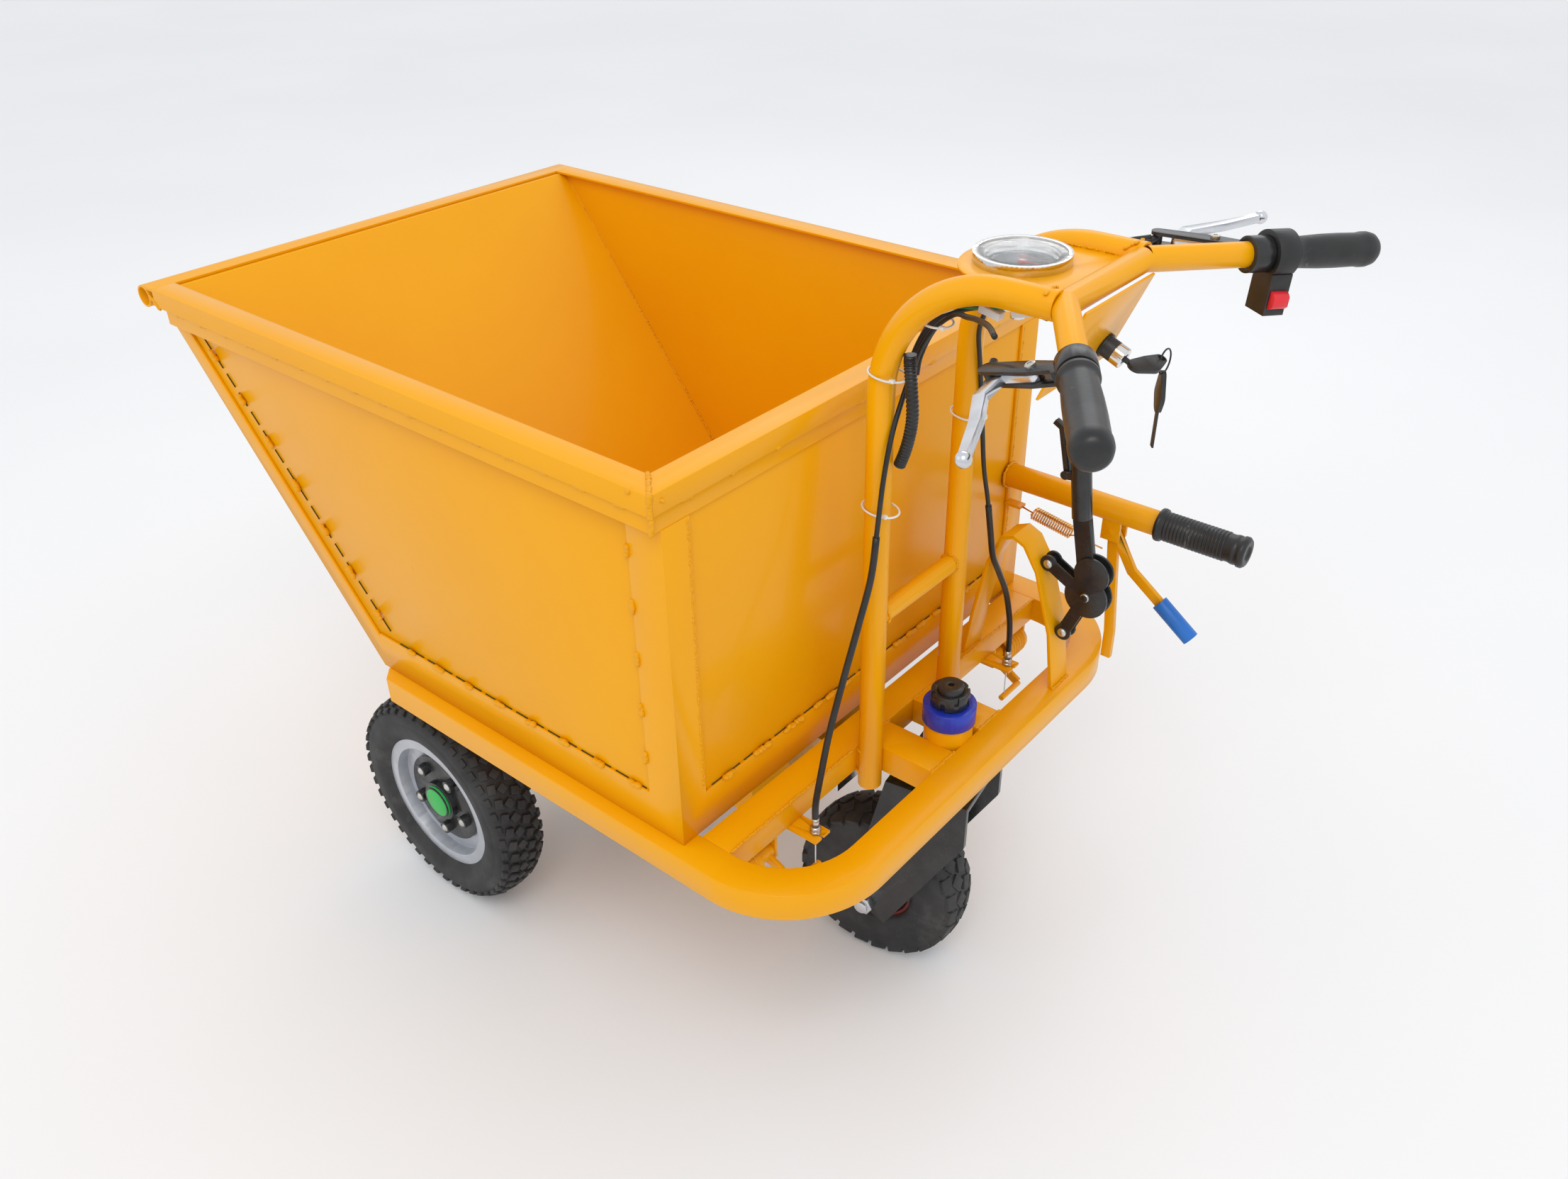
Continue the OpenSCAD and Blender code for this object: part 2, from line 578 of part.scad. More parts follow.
// Base band, rear corner angles and the angles along the slanted edges
module hopper_angles() color(yellow) place() {
  difference() {
    box([angle_x, -(side_y + angle_t), floor_z], [front_x, side_y + angle_t, floor_z + base_band]);
    hopper_solid(0);
    box([40, -side_y + 40, 0], [front_x - 40, side_y - 40, 700]);
  }
  both() difference() {
    box([angle_x, side_y - 40, floor_z + base_band], [rear_x + corner_leg, side_y + angle_t, rim_h - rim_drop - strip_h]);
    hopper_solid(0);
    box([0, 0, 0], [rear_x, side_y + angle_t - corner_leg, 2000]);
  }
  difference() {
    translate([0, side_y + angle_t, 0]) rotate([90, 0, 0]) linear_extrude(2 * (side_y + angle_t))
      polygon([[front_x - 44, floor_z], [front_x + 3, floor_z], [slope_x + 3, rim_h - rim_drop - strip_h + 8],
        [slope_x + 3, rim_h - angle_t], [slope_x - 40, rim_h - rim_drop - strip_h]]);
    hopper_solid(0);
    box([-10, -side_y + 40, 0], [2000, side_y - 40, 2000]);
    box([-10, -1000, 0], [front_x, 1000, floor_z + base_band]);
    box([slope_x - 50, -1000, rim_h - rim_drop - strip_h], [2000, 1000, 2000]);
  }
}
module lip_pipe() color(yellow) place() difference() {
  union() {
    disc_y(lip_x, -half_w, lip_z, lip_d, 2 * half_w);
    box([slope_x, -half_w, rim_h - angle_t], [lip_x, half_w, rim_h]);
  }
  disc_y(lip_x, -half_w - 1, lip_z, lip_d - 6, 2 * half_w + 2);
}
module tip_handle() color(yellow) place() difference() {
  union() {
    translate([angle_x - tip_len, tip_y, tip_z]) rotate([0, 90, 0]) cylinder(h = tip_len, d = tip_d);
    translate([angle_x - tip_len - 110, tip_y, tip_z]) rotate([0, 90, 0]) cylinder(h = 112, d = tip_d - 6);
    for (s = [-1, 1]) box([latch_x - 14, tip_y + s * 11 - 2.5, latch_z - 14], [latch_x + 14, tip_y + s * 11 + 2.5, tip_z]);
    translate([latch_x, tip_y - 14, latch_z]) rotate([-90, 0, 0]) cylinder(h = 28, d = 8);
    box([spring_a[0] - 4, tip_y - 8, tip_z - 48], [angle_x, tip_y + 8, tip_z - 44]);
  }
  translate([angle_x - tip_len - 111, tip_y, tip_z]) rotate([0, 90, 0]) cylinder(h = tip_len + 100, d = tip_d - 14);
}
module tip_grip() color(black) place() translate([angle_x - tip_len, tip_y, tip_z]) rotate([0, -90, 0]) difference() {
  union() {
    cylinder(h = 128, d = 42);
    cylinder(h = 7, d = 48);
    translate([0, 0, 112]) cylinder(h = 8, d = 46);
  }
  translate([0, 0, -1]) cylinder(h = 113, d = tip_d - 6);
}
// Latch lever: pivot under the tip handle, catch plate beside the rail at the frame's rear corner
rail_edge_x = -rear_reach + corner_r - sqrt(corner_r * corner_r - pow(-tip_y - frame_y + corner_r, 2));
hook_x = rail_edge_x - 14;
module latch_plate() translate([0, tip_y + 4, 0]) rotate([90, 0, 0]) linear_extrude(8) children();
module latch_lever() color(yellow) place() difference() {
  union() {
    latch_plate() {
      ribbon([[latch_x, latch_z], [latch_x - 36, latch_z - 58], [latch_x - 134, latch_z - 130]], 14);
      ribbon([[latch_x, latch_z], [hook_x, frame_top + 8], [hook_x, rail_bot + 2]], 15);
    }
    translate([latch_x, tip_y - 8 + pass, latch_z]) rotate([-90, 0, 0]) cylinder(h = 16 - 2 * pass, d = 18);
  }
  translate([latch_x, tip_y - 20, latch_z]) rotate([-90, 0, 0]) cylinder(h = 40, d = 8 + 2 * run);
}
module latch_grip() color("#1f6fc4") place() difference() {
  bar([latch_x - 84, tip_y, latch_z - 93], [latch_x - 138, tip_y, latch_z - 133], 24);
  latch_plate() ribbon([[latch_x - 36, latch_z - 58], [latch_x - 134, latch_z - 130]], 14);
}
spring_a = [angle_x - 22, tip_y, tip_z - 46];
spring_b = [latch_x + 8, tip_y, latch_z - 40];
module latch_spring() color("#c98a2b") place() {
  v = spring_b - spring_a;
  bar(spring_a, spring_b - 0.04 * v, 3);
  bar(spring_a + 0.16 * v, spring_a + 0.66 * v, 21);
}

// ---- parking brake ----
ratchet_p = [-214, 592];
module brake_plate(y, t) translate([0, arch_y + y + t, 0]) rotate([90, 0, 0]) linear_extrude(t) children();
ear_top = [arch_foot_x + 30.6, 622.8];
ear_low = [arch_foot_x - 2, 524];
module ratchet_body() color(black) place() {
  union() {
    for (y = [-9, 5.5]) brake_plate(y, 3.5) {
      ribbon([ear_top, ratchet_p, ear_low], 18);
      translate(ear_top) circle(d = 24);
      translate(ear_low) circle(d = 24);
      translate(ratchet_p) circle(d = 62);
      translate(ratchet_p + [-4, 36]) circle(d = 50);
    }
    for (p = [ear_top, ear_low, ratchet_p + [16, -38]]) brake_plate(-9, 18) translate(p) circle(d = 12);
    brake_plate(-13, 26) translate(ratchet_p) circle(d = 10);
  }
}
module ratchet_lever() color(black) place() difference() {
  union() {
    brake_plate(-5, 10) {
      ribbon([ratchet_p, [-203, 650], [-190, 712]], 24);
      translate(ratchet_p) circle(d = 36);
    }
    bar([-191, arch_y, 704], [-176, arch_y, 812], 27);
    for (y = [-9, 5]) brake_plate(y, 4) {
      ribbon([[-180, 762], [-163, 760]], 10);
      translate([-163, 760]) circle(d = 12);
    }
    brake_plate(-9, 18) translate([-163, 760]) circle(d = 5);
  }
  brake_plate(-20, 40) translate(ratchet_p) circle(d = 10 + 2 * run);
}
module ratchet_release() color(black) place() difference() {
  brake_plate(-4.5, 9) {
    ribbon([[-163, 760], [-149, 822], [-138, 828]], 7);
    translate([-163, 760]) circle(d = 9.5);
  }
  brake_plate(-20, 40) translate([-163, 760]) circle(d = 5 + 2 * run);
}

// ---- brake relays under the cross member ----
relay_in = 262;
relay_out = 352;
module relay_shafts() color(yellow) place() both() {
  disc_y(relay_x, relay_in, relay_z, 14, relay_out - relay_in);
  for (y = [relay_in, relay_out - 4]) box([relay_x - 14, y, relay_z - 10], [relay_x + 14, y + 4, rail_bot]);
  disc_y(relay_x, relay_in + 34, relay_z, 46, relay_out - relay_in - 38, 36);
  box([relay_x - 3, relay_out - 20, relay_z + 18], [relay_x + 3, relay_out - 4, rail_bot]);
}
module relay_arm() difference() {
  union() {
    disc_y(relay_x, relay_in + 4 + pass, relay_z, 26, 26);
    translate([0, relay_in + 16, 0]) rotate([90, 0, 0]) linear_extrude(6) {
      ribbon([[relay_x, relay_z], [relay_x - 28, relay_z - 12], [tab_x + 2, relay_z - 26]], 13);
    }
    disc_y(tab_x, tab_y - 8, relay_z - 26, 9, relay_in + 12 - tab_y + 8);
  }
  disc_y(relay_x, relay_in, relay_z, 14 + 2 * run, 60);
}
module relay_arm_left() color(yellow) place() relay_arm();
module relay_arm_right() color(yellow) place() mirror([0, 1, 0]) relay_arm();

// ---- front wheels ----
stub_d = 30;
web_y = wheel_y + 6;
module tyre() translate([axle_x, wheel_y, wheel_r]) rotate([90, 0, 0]) rotate_extrude($fn = 96) difference() {
  hull() {
    for (s = [-1, 1]) {
      translate([wheel_r - 22, s * (tyre_w / 2 - 18)]) circle(r = 18, $fn = 32);
      translate([rim_r - 2, s * (tyre_w / 2 - 14)]) circle(r = 10, $fn = 32);
    }
    translate([wheel_r - 10, -12]) square([10, 24]);
  }
  translate([0, -100]) square([rim_r - 12, 200]);
  for (s = [-1, 1]) translate([rim_r - 13, s > 0 ? rim_half - 4 : -rim_half - 20]) square([16, 24]);
}
rim_half = 31;
module rim() translate([axle_x, wheel_y, wheel_r]) rotate([-90, 0, 0]) rotate_extrude($fn = 96) {
  translate([rim_r - 18, -rim_half]) square([6, 2 * rim_half]);
  for (s = [-1, 1]) translate([rim_r - 18, s > 0 ? rim_half - 4 : -rim_half]) square([20.8, 4]);
  translate([50, 6]) square([rim_r - 66, 5]);
}
module hub() difference() {
  union() {
    disc_y(axle_x, hanger_y + 22, wheel_r, 2 * drum_r, 24);
    disc_y(axle_x, hanger_y + 22, wheel_r, 100, web_y + 5 - hanger_y - 22);
    disc_y(axle_x, web_y + 5, wheel_r, 150, 6);
    disc_y(axle_x, web_y + 5, wheel_r, 66, 16);
    disc_y(axle_x, web_y + 21, wheel_r, 54, 5);
    for (k = [0 : 4]) translate([axle_x, 0, wheel_r]) rotate([0, 72 * k + 20, 0]) translate([bolt_circle / 2, 0, 0])
      disc_y(0, web_y + 10, 0, 20, 12);
  }
  disc_y(axle_x, 0, wheel_r, stub_d + 2 * run, web_y + 4);
  disc_y(axle_x, hanger_y, wheel_r, 2 * drum_r - 10, 40);
}
module tyre_left() color("#17171a") place() tyre();
module tyre_right() color("#17171a") place() mirror([0, 1, 0]) tyre();
module rim_left() color(silver) place() rim();
module rim_right() color(silver) place() mirror([0, 1, 0]) rim();
module hub_left() color(black) place() hub();
module hub_right() color(black) place() mirror([0, 1, 0]) hub();

// ---- rear wheel and its fork ----
fork_in = 58;
fork_out = 66;
rear_bolt = 20;
module at_fork() translate([spindle_x, 0, 0]) rotate([0, 0, caster_turn]) children();
module caster_fork() color(black) place() at_fork() difference() {
  union() {
    translate([-60, -fork_out, crown_top - 10]) cube([120, 2 * fork_out, 10]);
    both() translate([0, fork_out, 0]) rotate([90, 0, 0]) linear_extrude(fork_out - fork_in) polygon(
      [[-60, crown_top], [-60, 300], [54, caster_d / 2 - 33], [caster_trail + 31, caster_d / 2 + 2],
       [60, crown_top]]);
    cylinder(h = housing_bot - pass, d = 62);
    translate([0, 0, crown_top]) cylinder(h = housing_top + cap_h + 2 * nut_h + 7 - crown_top, d = spindle_d);
  }
  translate([0, 0, -1]) cylinder(h = crown_top - 9, d = 70);
  translate([0, 0, housing_top + cap_h + 12]) cylinder(h = 30, d = 8);
  translate([caster_trail, fork_out + 1, caster_d / 2]) rotate([90, 0, 0]) cylinder(h = 2 * fork_out + 2, d = rear_bolt);
}
module spindle_nuts() color(black) place() at_fork() translate([0, 0, housing_top + cap_h + pass]) difference() {
  for (z = [0, nut_h - pass]) translate([0, 0, z]) difference() {
    cylinder(h = nut_h - pass, d = 52);
    for (k = [0 : 3]) rotate(90 * k + 4 * z) translate([22, -3, -1]) cube([10, 6, nut_h + 1]);
  }
  translate([0, 0, -1]) cylinder(h = 40, d = spindle_d);
}
module rear_axle() color(silver) place() at_fork() translate([caster_trail, 0, caster_d / 2]) rotate([-90, 0, 0]) {
  translate([0, 0, -fork_out - 12]) cylinder(h = 2 * fork_out + 30, d = rear_bolt);
  both_z() translate([0, 0, fork_out]) cylinder(h = 13, d = 32, $fn = 6);
}
module both_z() {
  children();
  mirror([0, 0, 1]) children();
}
module rear_tyre() color("#1b1b1d") place() at_fork() translate([caster_trail, 0, caster_d / 2]) rotate([90, 0, 0])
  rotate_extrude($fn = 96) difference() {
    hull() for (s = [-1, 1]) {
      translate([caster_d / 2 - 16, s * (caster_w / 2 - 16)]) circle(r = 16, $fn = 32);
      translate([60, s * (caster_w / 2 - 9)]) circle(r = 9, $fn = 32);
    }
    translate([0, -100]) square([58, 200]);
  }
module rear_rim() color("#6b1512") place() at_fork() translate([caster_trail, 0, caster_d / 2]) rotate([90, 0, 0])
  rotate_extrude($fn = 96) {
    translate([52, -32]) square([6, 64]);
    translate([24, -5]) square([30, 10]);
    translate([rear_bolt / 2 + run, -fork_in + 3]) square([16, 2 * fork_in - 6]);
  }

frame_rail();
cross_members();
spindle_stubs();
spindle_housing();
bearing_cap();
handle_columns();
handlebar();
gauge_plate();
switch_panel();
cable_tabs();
brake_arch();
drive_axle();
drive_motor();
battery_tray();
batteries();
controller();
gauge_case();
gauge_glass();
gauge_needle();
key_switch();
ignition_key();
spare_key();
brake_perches();
brake_lever_left();
brake_lever_right();
grip_left();
throttle_housing();
throttle_grip();
rocker_switch();
brake_cable_left();
brake_cable_right();
loose_conduit();
hinge_brackets();
hopper_shell();
hopper_rim();
hopper_angles();
lip_pipe();
hinge_lugs();
tip_handle();
tip_grip();
latch_lever();
latch_grip();
latch_spring();
ratchet_body();
ratchet_lever();
ratchet_release();
relay_shafts();
relay_arm_left();
relay_arm_right();
tyre_left();
rim_left();
hub_left();
tyre_right();
rim_right();
hub_right();
caster_fork();
spindle_nuts();
rear_axle();
rear_tyre();
rear_rim();
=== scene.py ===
"""Power wheelbarrow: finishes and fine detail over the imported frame, laid out as an add-on."""
import json
import math
import random

import bmesh
import bpy
from bpy.props import FloatProperty, FloatVectorProperty, IntProperty, PointerProperty
from mathutils import Matrix, Vector


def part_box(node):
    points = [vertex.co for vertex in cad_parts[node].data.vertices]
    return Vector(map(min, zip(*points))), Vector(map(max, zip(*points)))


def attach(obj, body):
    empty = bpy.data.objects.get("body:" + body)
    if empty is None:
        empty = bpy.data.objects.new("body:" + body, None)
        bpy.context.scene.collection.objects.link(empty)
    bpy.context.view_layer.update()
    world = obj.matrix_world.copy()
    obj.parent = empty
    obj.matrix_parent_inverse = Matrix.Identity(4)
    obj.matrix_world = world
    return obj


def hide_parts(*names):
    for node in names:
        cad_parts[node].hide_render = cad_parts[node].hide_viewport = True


bl_info = {
    "name": "Power wheelbarrow finish",
    "version": (1, 0, 0),
    "blender": (4, 5, 0),
    "location": "3D View > Sidebar > Wheelbarrow",
    "description": "Builds the paint, tyres, welds, cables and fittings of a power wheelbarrow",
    "category": "Object",
}

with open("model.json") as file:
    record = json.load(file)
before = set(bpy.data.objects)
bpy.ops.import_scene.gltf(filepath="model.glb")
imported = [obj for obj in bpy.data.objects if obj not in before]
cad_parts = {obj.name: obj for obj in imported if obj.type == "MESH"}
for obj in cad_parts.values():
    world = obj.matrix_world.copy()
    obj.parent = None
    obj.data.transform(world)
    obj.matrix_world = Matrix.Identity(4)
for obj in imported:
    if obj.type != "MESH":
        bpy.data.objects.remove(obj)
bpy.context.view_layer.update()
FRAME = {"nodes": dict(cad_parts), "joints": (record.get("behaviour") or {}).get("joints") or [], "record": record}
NODES = FRAME["nodes"]
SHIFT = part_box("hopper_rim")[0][0]
SLOT_OF = {s["node"]: s["material_slot"] for s in FRAME["record"]["subparts"]}
MM = 0.001

# Places of the machine in millimetres from the hopper's rear rim, as the part's source has them
FRONT_WHEEL_X, FRONT_WHEEL_Y, FRONT_WHEEL_Z = 563, 340, 178
FACE_Y = 351 - FRONT_WHEEL_Y              # the hub's face, outboard of the wheel's middle
BAR_BEND = (-274, 84, 1096)               # where the handlebar bends back
BAR_SWEEP, BAR_DROOP = math.radians(124), math.radians(3.8)
GRIP_END = 290.6                          # end of a hand grip, along the bar from its bend
TAB_X, TAB_Y = -81, 232                   # cable tab
ARCH_Y = -192                             # middle of the parking brake
TIP_Y, TIP_Z = -342, 642                  # tip handle
RELAY_X, RELAY_Z = -28, 360


# ---------------------------------------------------------------- places and meshes
def at(x, y, z):
    """A point of the machine, in millimetres from the hopper's rear rim, as metres in the frame."""
    return Vector((x * MM + SHIFT, y * MM, z * MM))


def new_object(name, mesh):
    obj = bpy.data.objects.new(name, mesh)
    bpy.context.scene.collection.objects.link(obj)
    return obj


def mesh_object(name, verts, faces, smooth=True):
    mesh = bpy.data.meshes.new(name)
    mesh.from_pydata([tuple(v) for v in verts], [], faces)
    bm = bmesh.new()
    bm.from_mesh(mesh)
    bmesh.ops.remove_doubles(bm, verts=bm.verts, dist=1e-6)
    bmesh.ops.recalc_face_normals(bm, faces=bm.faces)
    bm.to_mesh(mesh)
    bm.free()
    for poly in mesh.polygons:
        poly.use_smooth = smooth
    return new_object(name, mesh)


def finish_piece(obj, material, body, stands_for=()):
    """Gives a piece its material and the body it rides on, and hides the nodes it stands for."""
    if material is not None:
        obj.data.materials.clear()
        obj.data.materials.append(material)
    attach(obj, body)
    if stands_for:
        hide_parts(*stands_for)
    return obj


def bake(obj):
    """Turns the evaluated object into a plain mesh and drops its modifiers."""
    graph = bpy.context.evaluated_depsgraph_get()
    mesh = bpy.data.meshes.new_from_object(obj.evaluated_get(graph))
    obj.modifiers.clear()
    obj.data = mesh
    return obj


def smooth_by_angle(mesh, degrees=35):
    bm = bmesh.new()
    bm.from_mesh(mesh)
    limit = math.radians(degrees)
    for face in bm.faces:
        face.smooth = True
    for edge in bm.edges:
        if len(edge.link_faces) == 2 and edge.calc_face_angle(0) > limit:
            edge.smooth = False
    bm.to_mesh(mesh)
    bm.free()


def join(name, parts):
    """Joins mesh objects into one named object."""
    verts, faces, smooth = [], [], []
    for part in parts:
        start = len(verts)
        verts += [v.co.copy() for v in part.data.vertices]
        for poly in part.data.polygons:
            faces.append([start + i for i in poly.vertices])
            smooth.append(poly.use_smooth)
        bpy.data.objects.remove(part)
    mesh = bpy.data.meshes.new(name)
    mesh.from_pydata(verts, [], faces)
    for poly, soft in zip(mesh.polygons, smooth):
        poly.use_smooth = soft
    return new_object(name, mesh)


def turned(name, profile, centre, axis, steps=64, closed=False):
    """A body of revolution: profile is (radius, along) in millimetres."""
    side = Vector(axis).orthogonal().normalized()
    axis = Vector(axis).normalized()
    up = axis.cross(side)
    verts, faces = [], []
    for k in range(steps):
        a = 2 * math.pi * k / steps
        out = side * math.cos(a) + up * math.sin(a)
        verts += [centre + (out * r + axis * h) * MM for r, h in profile]
    n = len(profile)
    for k in range(steps):
        j = (k + 1) % steps
        for i in range(n if closed else n - 1):
            i2 = (i + 1) % n
            faces.append((k * n + i, j * n + i, j * n + i2, k * n + i2))
    obj = mesh_object(name, verts, faces)
    smooth_by_angle(obj.data, 30)
    return obj


def smooth_path(points, steps=6):
    """Catmull-Rom points through a route."""
    pts = [Vector(p) for p in points]
    pts = [2 * pts[0] - pts[1]] + pts + [2 * pts[-1] - pts[-2]]
    out = []
    for i in range(1, len(pts) - 2):
        a, b, c, d = pts[i - 1:i + 3]
        for k in range(steps):
            t = k / steps
            out.append(0.5 * (2 * b + (c - a) * t + (2 * a - 5 * b + 4 * c - d) * t * t
                              + (3 * b - a - 3 * c + d) * t ** 3))
    out.append(pts[-2])
    return out


def tube(name, path, radius, sides=14, closed=False):
    """A round tube along a path in metres; radius is a number or a function of 0 to 1, in millimetres."""
    path = [Vector(p) for p in path]
    n = len(path)
    verts, faces = [], []
    ahead = (path[1] - path[0]).normalized()
    side = ahead.orthogonal().normalized()
    for i, p in enumerate(path):
        if closed:
            tangent = (path[(i + 1) % n] - path[i - 1]).normalized()
        else:
            tangent = (path[min(i + 1, n - 1)] - path[max(i - 1, 0)]).normalized()
        side = (side - tangent * side.dot(tangent)).normalized()
        up = tangent.cross(side)
        r = radius(i / (n - 1)) if callable(radius) else radius
        for k in range(sides):
            a = 2 * math.pi * k / sides
            verts.append(p + (side * math.cos(a) + up * math.sin(a)) * r * MM)
    rows = n if closed else n - 1
    for i in range(rows):
        j = (i + 1) % n
        for k in range(sides):
            k2 = (k + 1) % sides
            faces.append((i * sides + k, i * sides + k2, j * sides + k2, j * sides + k))
    if not closed:
        faces.append(tuple(range(sides - 1, -1, -1)))
        faces.append(tuple((n - 1) * sides + k for k in range(sides)))
    obj = mesh_object(name, verts, faces)
    smooth_by_angle(obj.data, 50)
    return obj


def block(name, size, matrix, bevel=0.15):
    """A bevelled box of size in millimetres, placed by a matrix."""
    bm = bmesh.new()
    bmesh.ops.create_cube(bm, size=1)
    bmesh.ops.scale(bm, vec=Vector(size) * MM, verts=bm.verts)
    width = min(size) * bevel * MM
    bmesh.ops.bevel(bm, geom=bm.edges[:], offset=width, segments=2, affect="EDGES", profile=0.6)
    mesh = bpy.data.meshes.new(name)
    bm.to_mesh(mesh)
    bm.free()
    mesh.transform(matrix)
    smooth_by_angle(mesh)
    return new_object(name, mesh)


class Tree:
    """A small geometry node tree with named inputs."""

    def __init__(self, name, inputs):
        self.group = bpy.data.node_groups.new(name, "GeometryNodeTree")
        face = self.group.interface
        face.new_socket("Geometry", in_out="INPUT", socket_type="NodeSocketGeometry")
        self.keys = {}
        for label, kind, value in inputs:
            socket = face.new_socket(label, in_out="INPUT", socket_type=kind)
            if value is not None:
                socket.default_value = value
            self.keys[label] = socket.identifier
        face.new_socket("Geometry", in_out="OUTPUT", socket_type="NodeSocketGeometry")
        self.start = self.group.nodes.new("NodeGroupInput")
        self.end = self.group.nodes.new("NodeGroupOutput")

    def node(self, kind, **values):
        made = self.group.nodes.new(kind)
        for key, value in values.items():
            setattr(made, key, value)
        return made

    def link(self, source, target):
        self.group.links.new(source, target)

    def close(self, geometry, material):
        """Ends the tree in Realize Instances and Set Material."""
        real = self.node("GeometryNodeRealizeInstances")
        paint = self.node("GeometryNodeSetMaterial")
        paint.inputs["Material"].default_value = material
        self.link(geometry, real.inputs[0])
        self.link(real.outputs[0], paint.inputs[0])
        self.link(paint.outputs[0], self.end.inputs[0])

    def run(self, obj, **values):
        """Puts the tree on an object, sets its inputs by identifier and bakes the result."""
        mod = obj.modifiers.new("nodes", "NODES")
        mod.node_group = self.group
        for label, value in values.items():
            mod[self.keys[label.replace("_", " ")]] = value
        return bake(obj)


def bead_tree(material):
    """Weld beads along edges: flattened blobs with random size and a small random shift, turned along the edge."""
    t = Tree("weld beads", [("Spacing", "NodeSocketFloat", 0.01), ("Size", "NodeSocketFloat", 0.004),
                            ("Seed", "NodeSocketInt", 3)])
    curve = t.node("GeometryNodeMeshToCurve")
    points = t.node("GeometryNodeCurveToPoints", mode="LENGTH")
    ball = t.node("GeometryNodeMeshIcoSphere")
    ball.inputs["Subdivisions"].default_value = 2
    put = t.node("GeometryNodeInstanceOnPoints")
    size = t.node("FunctionNodeRandomValue", data_type="FLOAT_VECTOR")
    size.inputs[0].default_value = (0.7, 0.7, 0.9)
    size.inputs[1].default_value = (1.25, 1.2, 1.9)
    nudge = t.node("GeometryNodeSetPosition")
    spread = t.node("FunctionNodeRandomValue", data_type="FLOAT_VECTOR")
    spread.inputs[0].default_value = (-0.0007, -0.0007, -0.0007)
    spread.inputs[1].default_value = (0.0007, 0.0007, 0.0007)
    t.link(t.start.outputs["Geometry"], curve.inputs[0])
    t.link(curve.outputs[0], points.inputs[0])
    t.link(t.start.outputs["Spacing"], points.inputs["Length"])
    t.link(points.outputs["Points"], nudge.inputs[0])
    t.link(spread.outputs[0], nudge.inputs["Offset"])
    t.link(t.start.outputs["Size"], ball.inputs["Radius"])
    t.link(t.start.outputs["Seed"], size.inputs["Seed"])
    t.link(nudge.outputs[0], put.inputs["Points"])
    t.link(ball.outputs["Mesh"], put.inputs["Instance"])
    t.link(points.outputs["Rotation"], put.inputs["Rotation"])
    t.link(size.outputs[0], put.inputs["Scale"])
    smooth = t.node("GeometryNodeSetShadeSmooth")
    t.link(put.outputs[0], smooth.inputs[0])
    t.close(smooth.outputs[0], material)
    return t


def wheel_tree(material):
    """Repeats a shape round the Y axis, as tread blocks and wheel nuts do."""
    t = Tree("round the wheel", [("Count", "NodeSocketInt", 5), ("Start", "NodeSocketFloat", 0.0)])
    line = t.node("GeometryNodeMeshLine")
    line.inputs["Offset"].default_value = (0, 0, 0)
    put = t.node("GeometryNodeInstanceOnPoints")
    index = t.node("GeometryNodeInputIndex")
    step = t.node("ShaderNodeMath", operation="DIVIDE")
    step.inputs[0].default_value = 2 * math.pi
    angle = t.node("ShaderNodeMath", operation="MULTIPLY_ADD")
    turn = t.node("ShaderNodeCombineXYZ")
    spin = t.node("GeometryNodeRotateInstances")
    t.link(t.start.outputs["Count"], line.inputs["Count"])
    t.link(t.start.outputs["Count"], step.inputs[1])
    t.link(index.outputs[0], angle.inputs[0])
    t.link(step.outputs[0], angle.inputs[1])
    t.link(t.start.outputs["Start"], angle.inputs[2])
    t.link(angle.outputs[0], turn.inputs["Y"])
    t.link(line.outputs[0], put.inputs["Points"])
    t.link(t.start.outputs["Geometry"], put.inputs["Instance"])
    t.link(put.outputs[0], spin.inputs["Instances"])
    t.link(turn.outputs[0], spin.inputs["Rotation"])
    t.close(spin.outputs[0], material)
    return t


def row_tree(material):
    """Repeats a shape along Z, as grip ribs do."""
    t = Tree("along a row", [("Count", "NodeSocketInt", 10), ("Pitch", "NodeSocketFloat", 0.005)])
    line = t.node("GeometryNodeMeshLine")
    step = t.node("ShaderNodeCombineXYZ")
    put = t.node("GeometryNodeInstanceOnPoints")
    t.link(t.start.outputs["Count"], line.inputs["Count"])
    t.link(t.start.outputs["Pitch"], step.inputs["Z"])
    t.link(step.outputs[0], line.inputs["Offset"])
    t.link(line.outputs[0], put.inputs["Points"])
    t.link(t.start.outputs["Geometry"], put.inputs["Instance"])
    t.close(put.outputs[0], material)
    return t


def coil_tree(material):
    """A coil spring along Z."""
    t = Tree("coil spring", [("Turns", "NodeSocketFloat", 10.0), ("Radius", "NodeSocketFloat", 0.01),
                             ("Length", "NodeSocketFloat", 0.05), ("Wire", "NodeSocketFloat", 0.001)])
    spiral = t.node("GeometryNodeCurveSpiral")
    spiral.inputs["Resolution"].default_value = 20
    ring = t.node("GeometryNodeCurvePrimitiveCircle")
    ring.inputs["Resolution"].default_value = 8
    sweep = t.node("GeometryNodeCurveToMesh")
    sweep.inputs["Fill Caps"].default_value = True
    smooth = t.node("GeometryNodeSetShadeSmooth")
    t.link(t.start.outputs["Turns"], spiral.inputs["Rotations"])
    t.link(t.start.outputs["Radius"], spiral.inputs["Start Radius"])
    t.link(t.start.outputs["Radius"], spiral.inputs["End Radius"])
    t.link(t.start.outputs["Length"], spiral.inputs["Height"])
    t.link(t.start.outputs["Wire"], ring.inputs["Radius"])
    t.link(spiral.outputs[0], sweep.inputs["Curve"])
    t.link(ring.outputs[0], sweep.inputs["Profile Curve"])
    t.link(sweep.outputs[0], smooth.inputs[0])
    t.close(smooth.outputs[0], material)
    return t


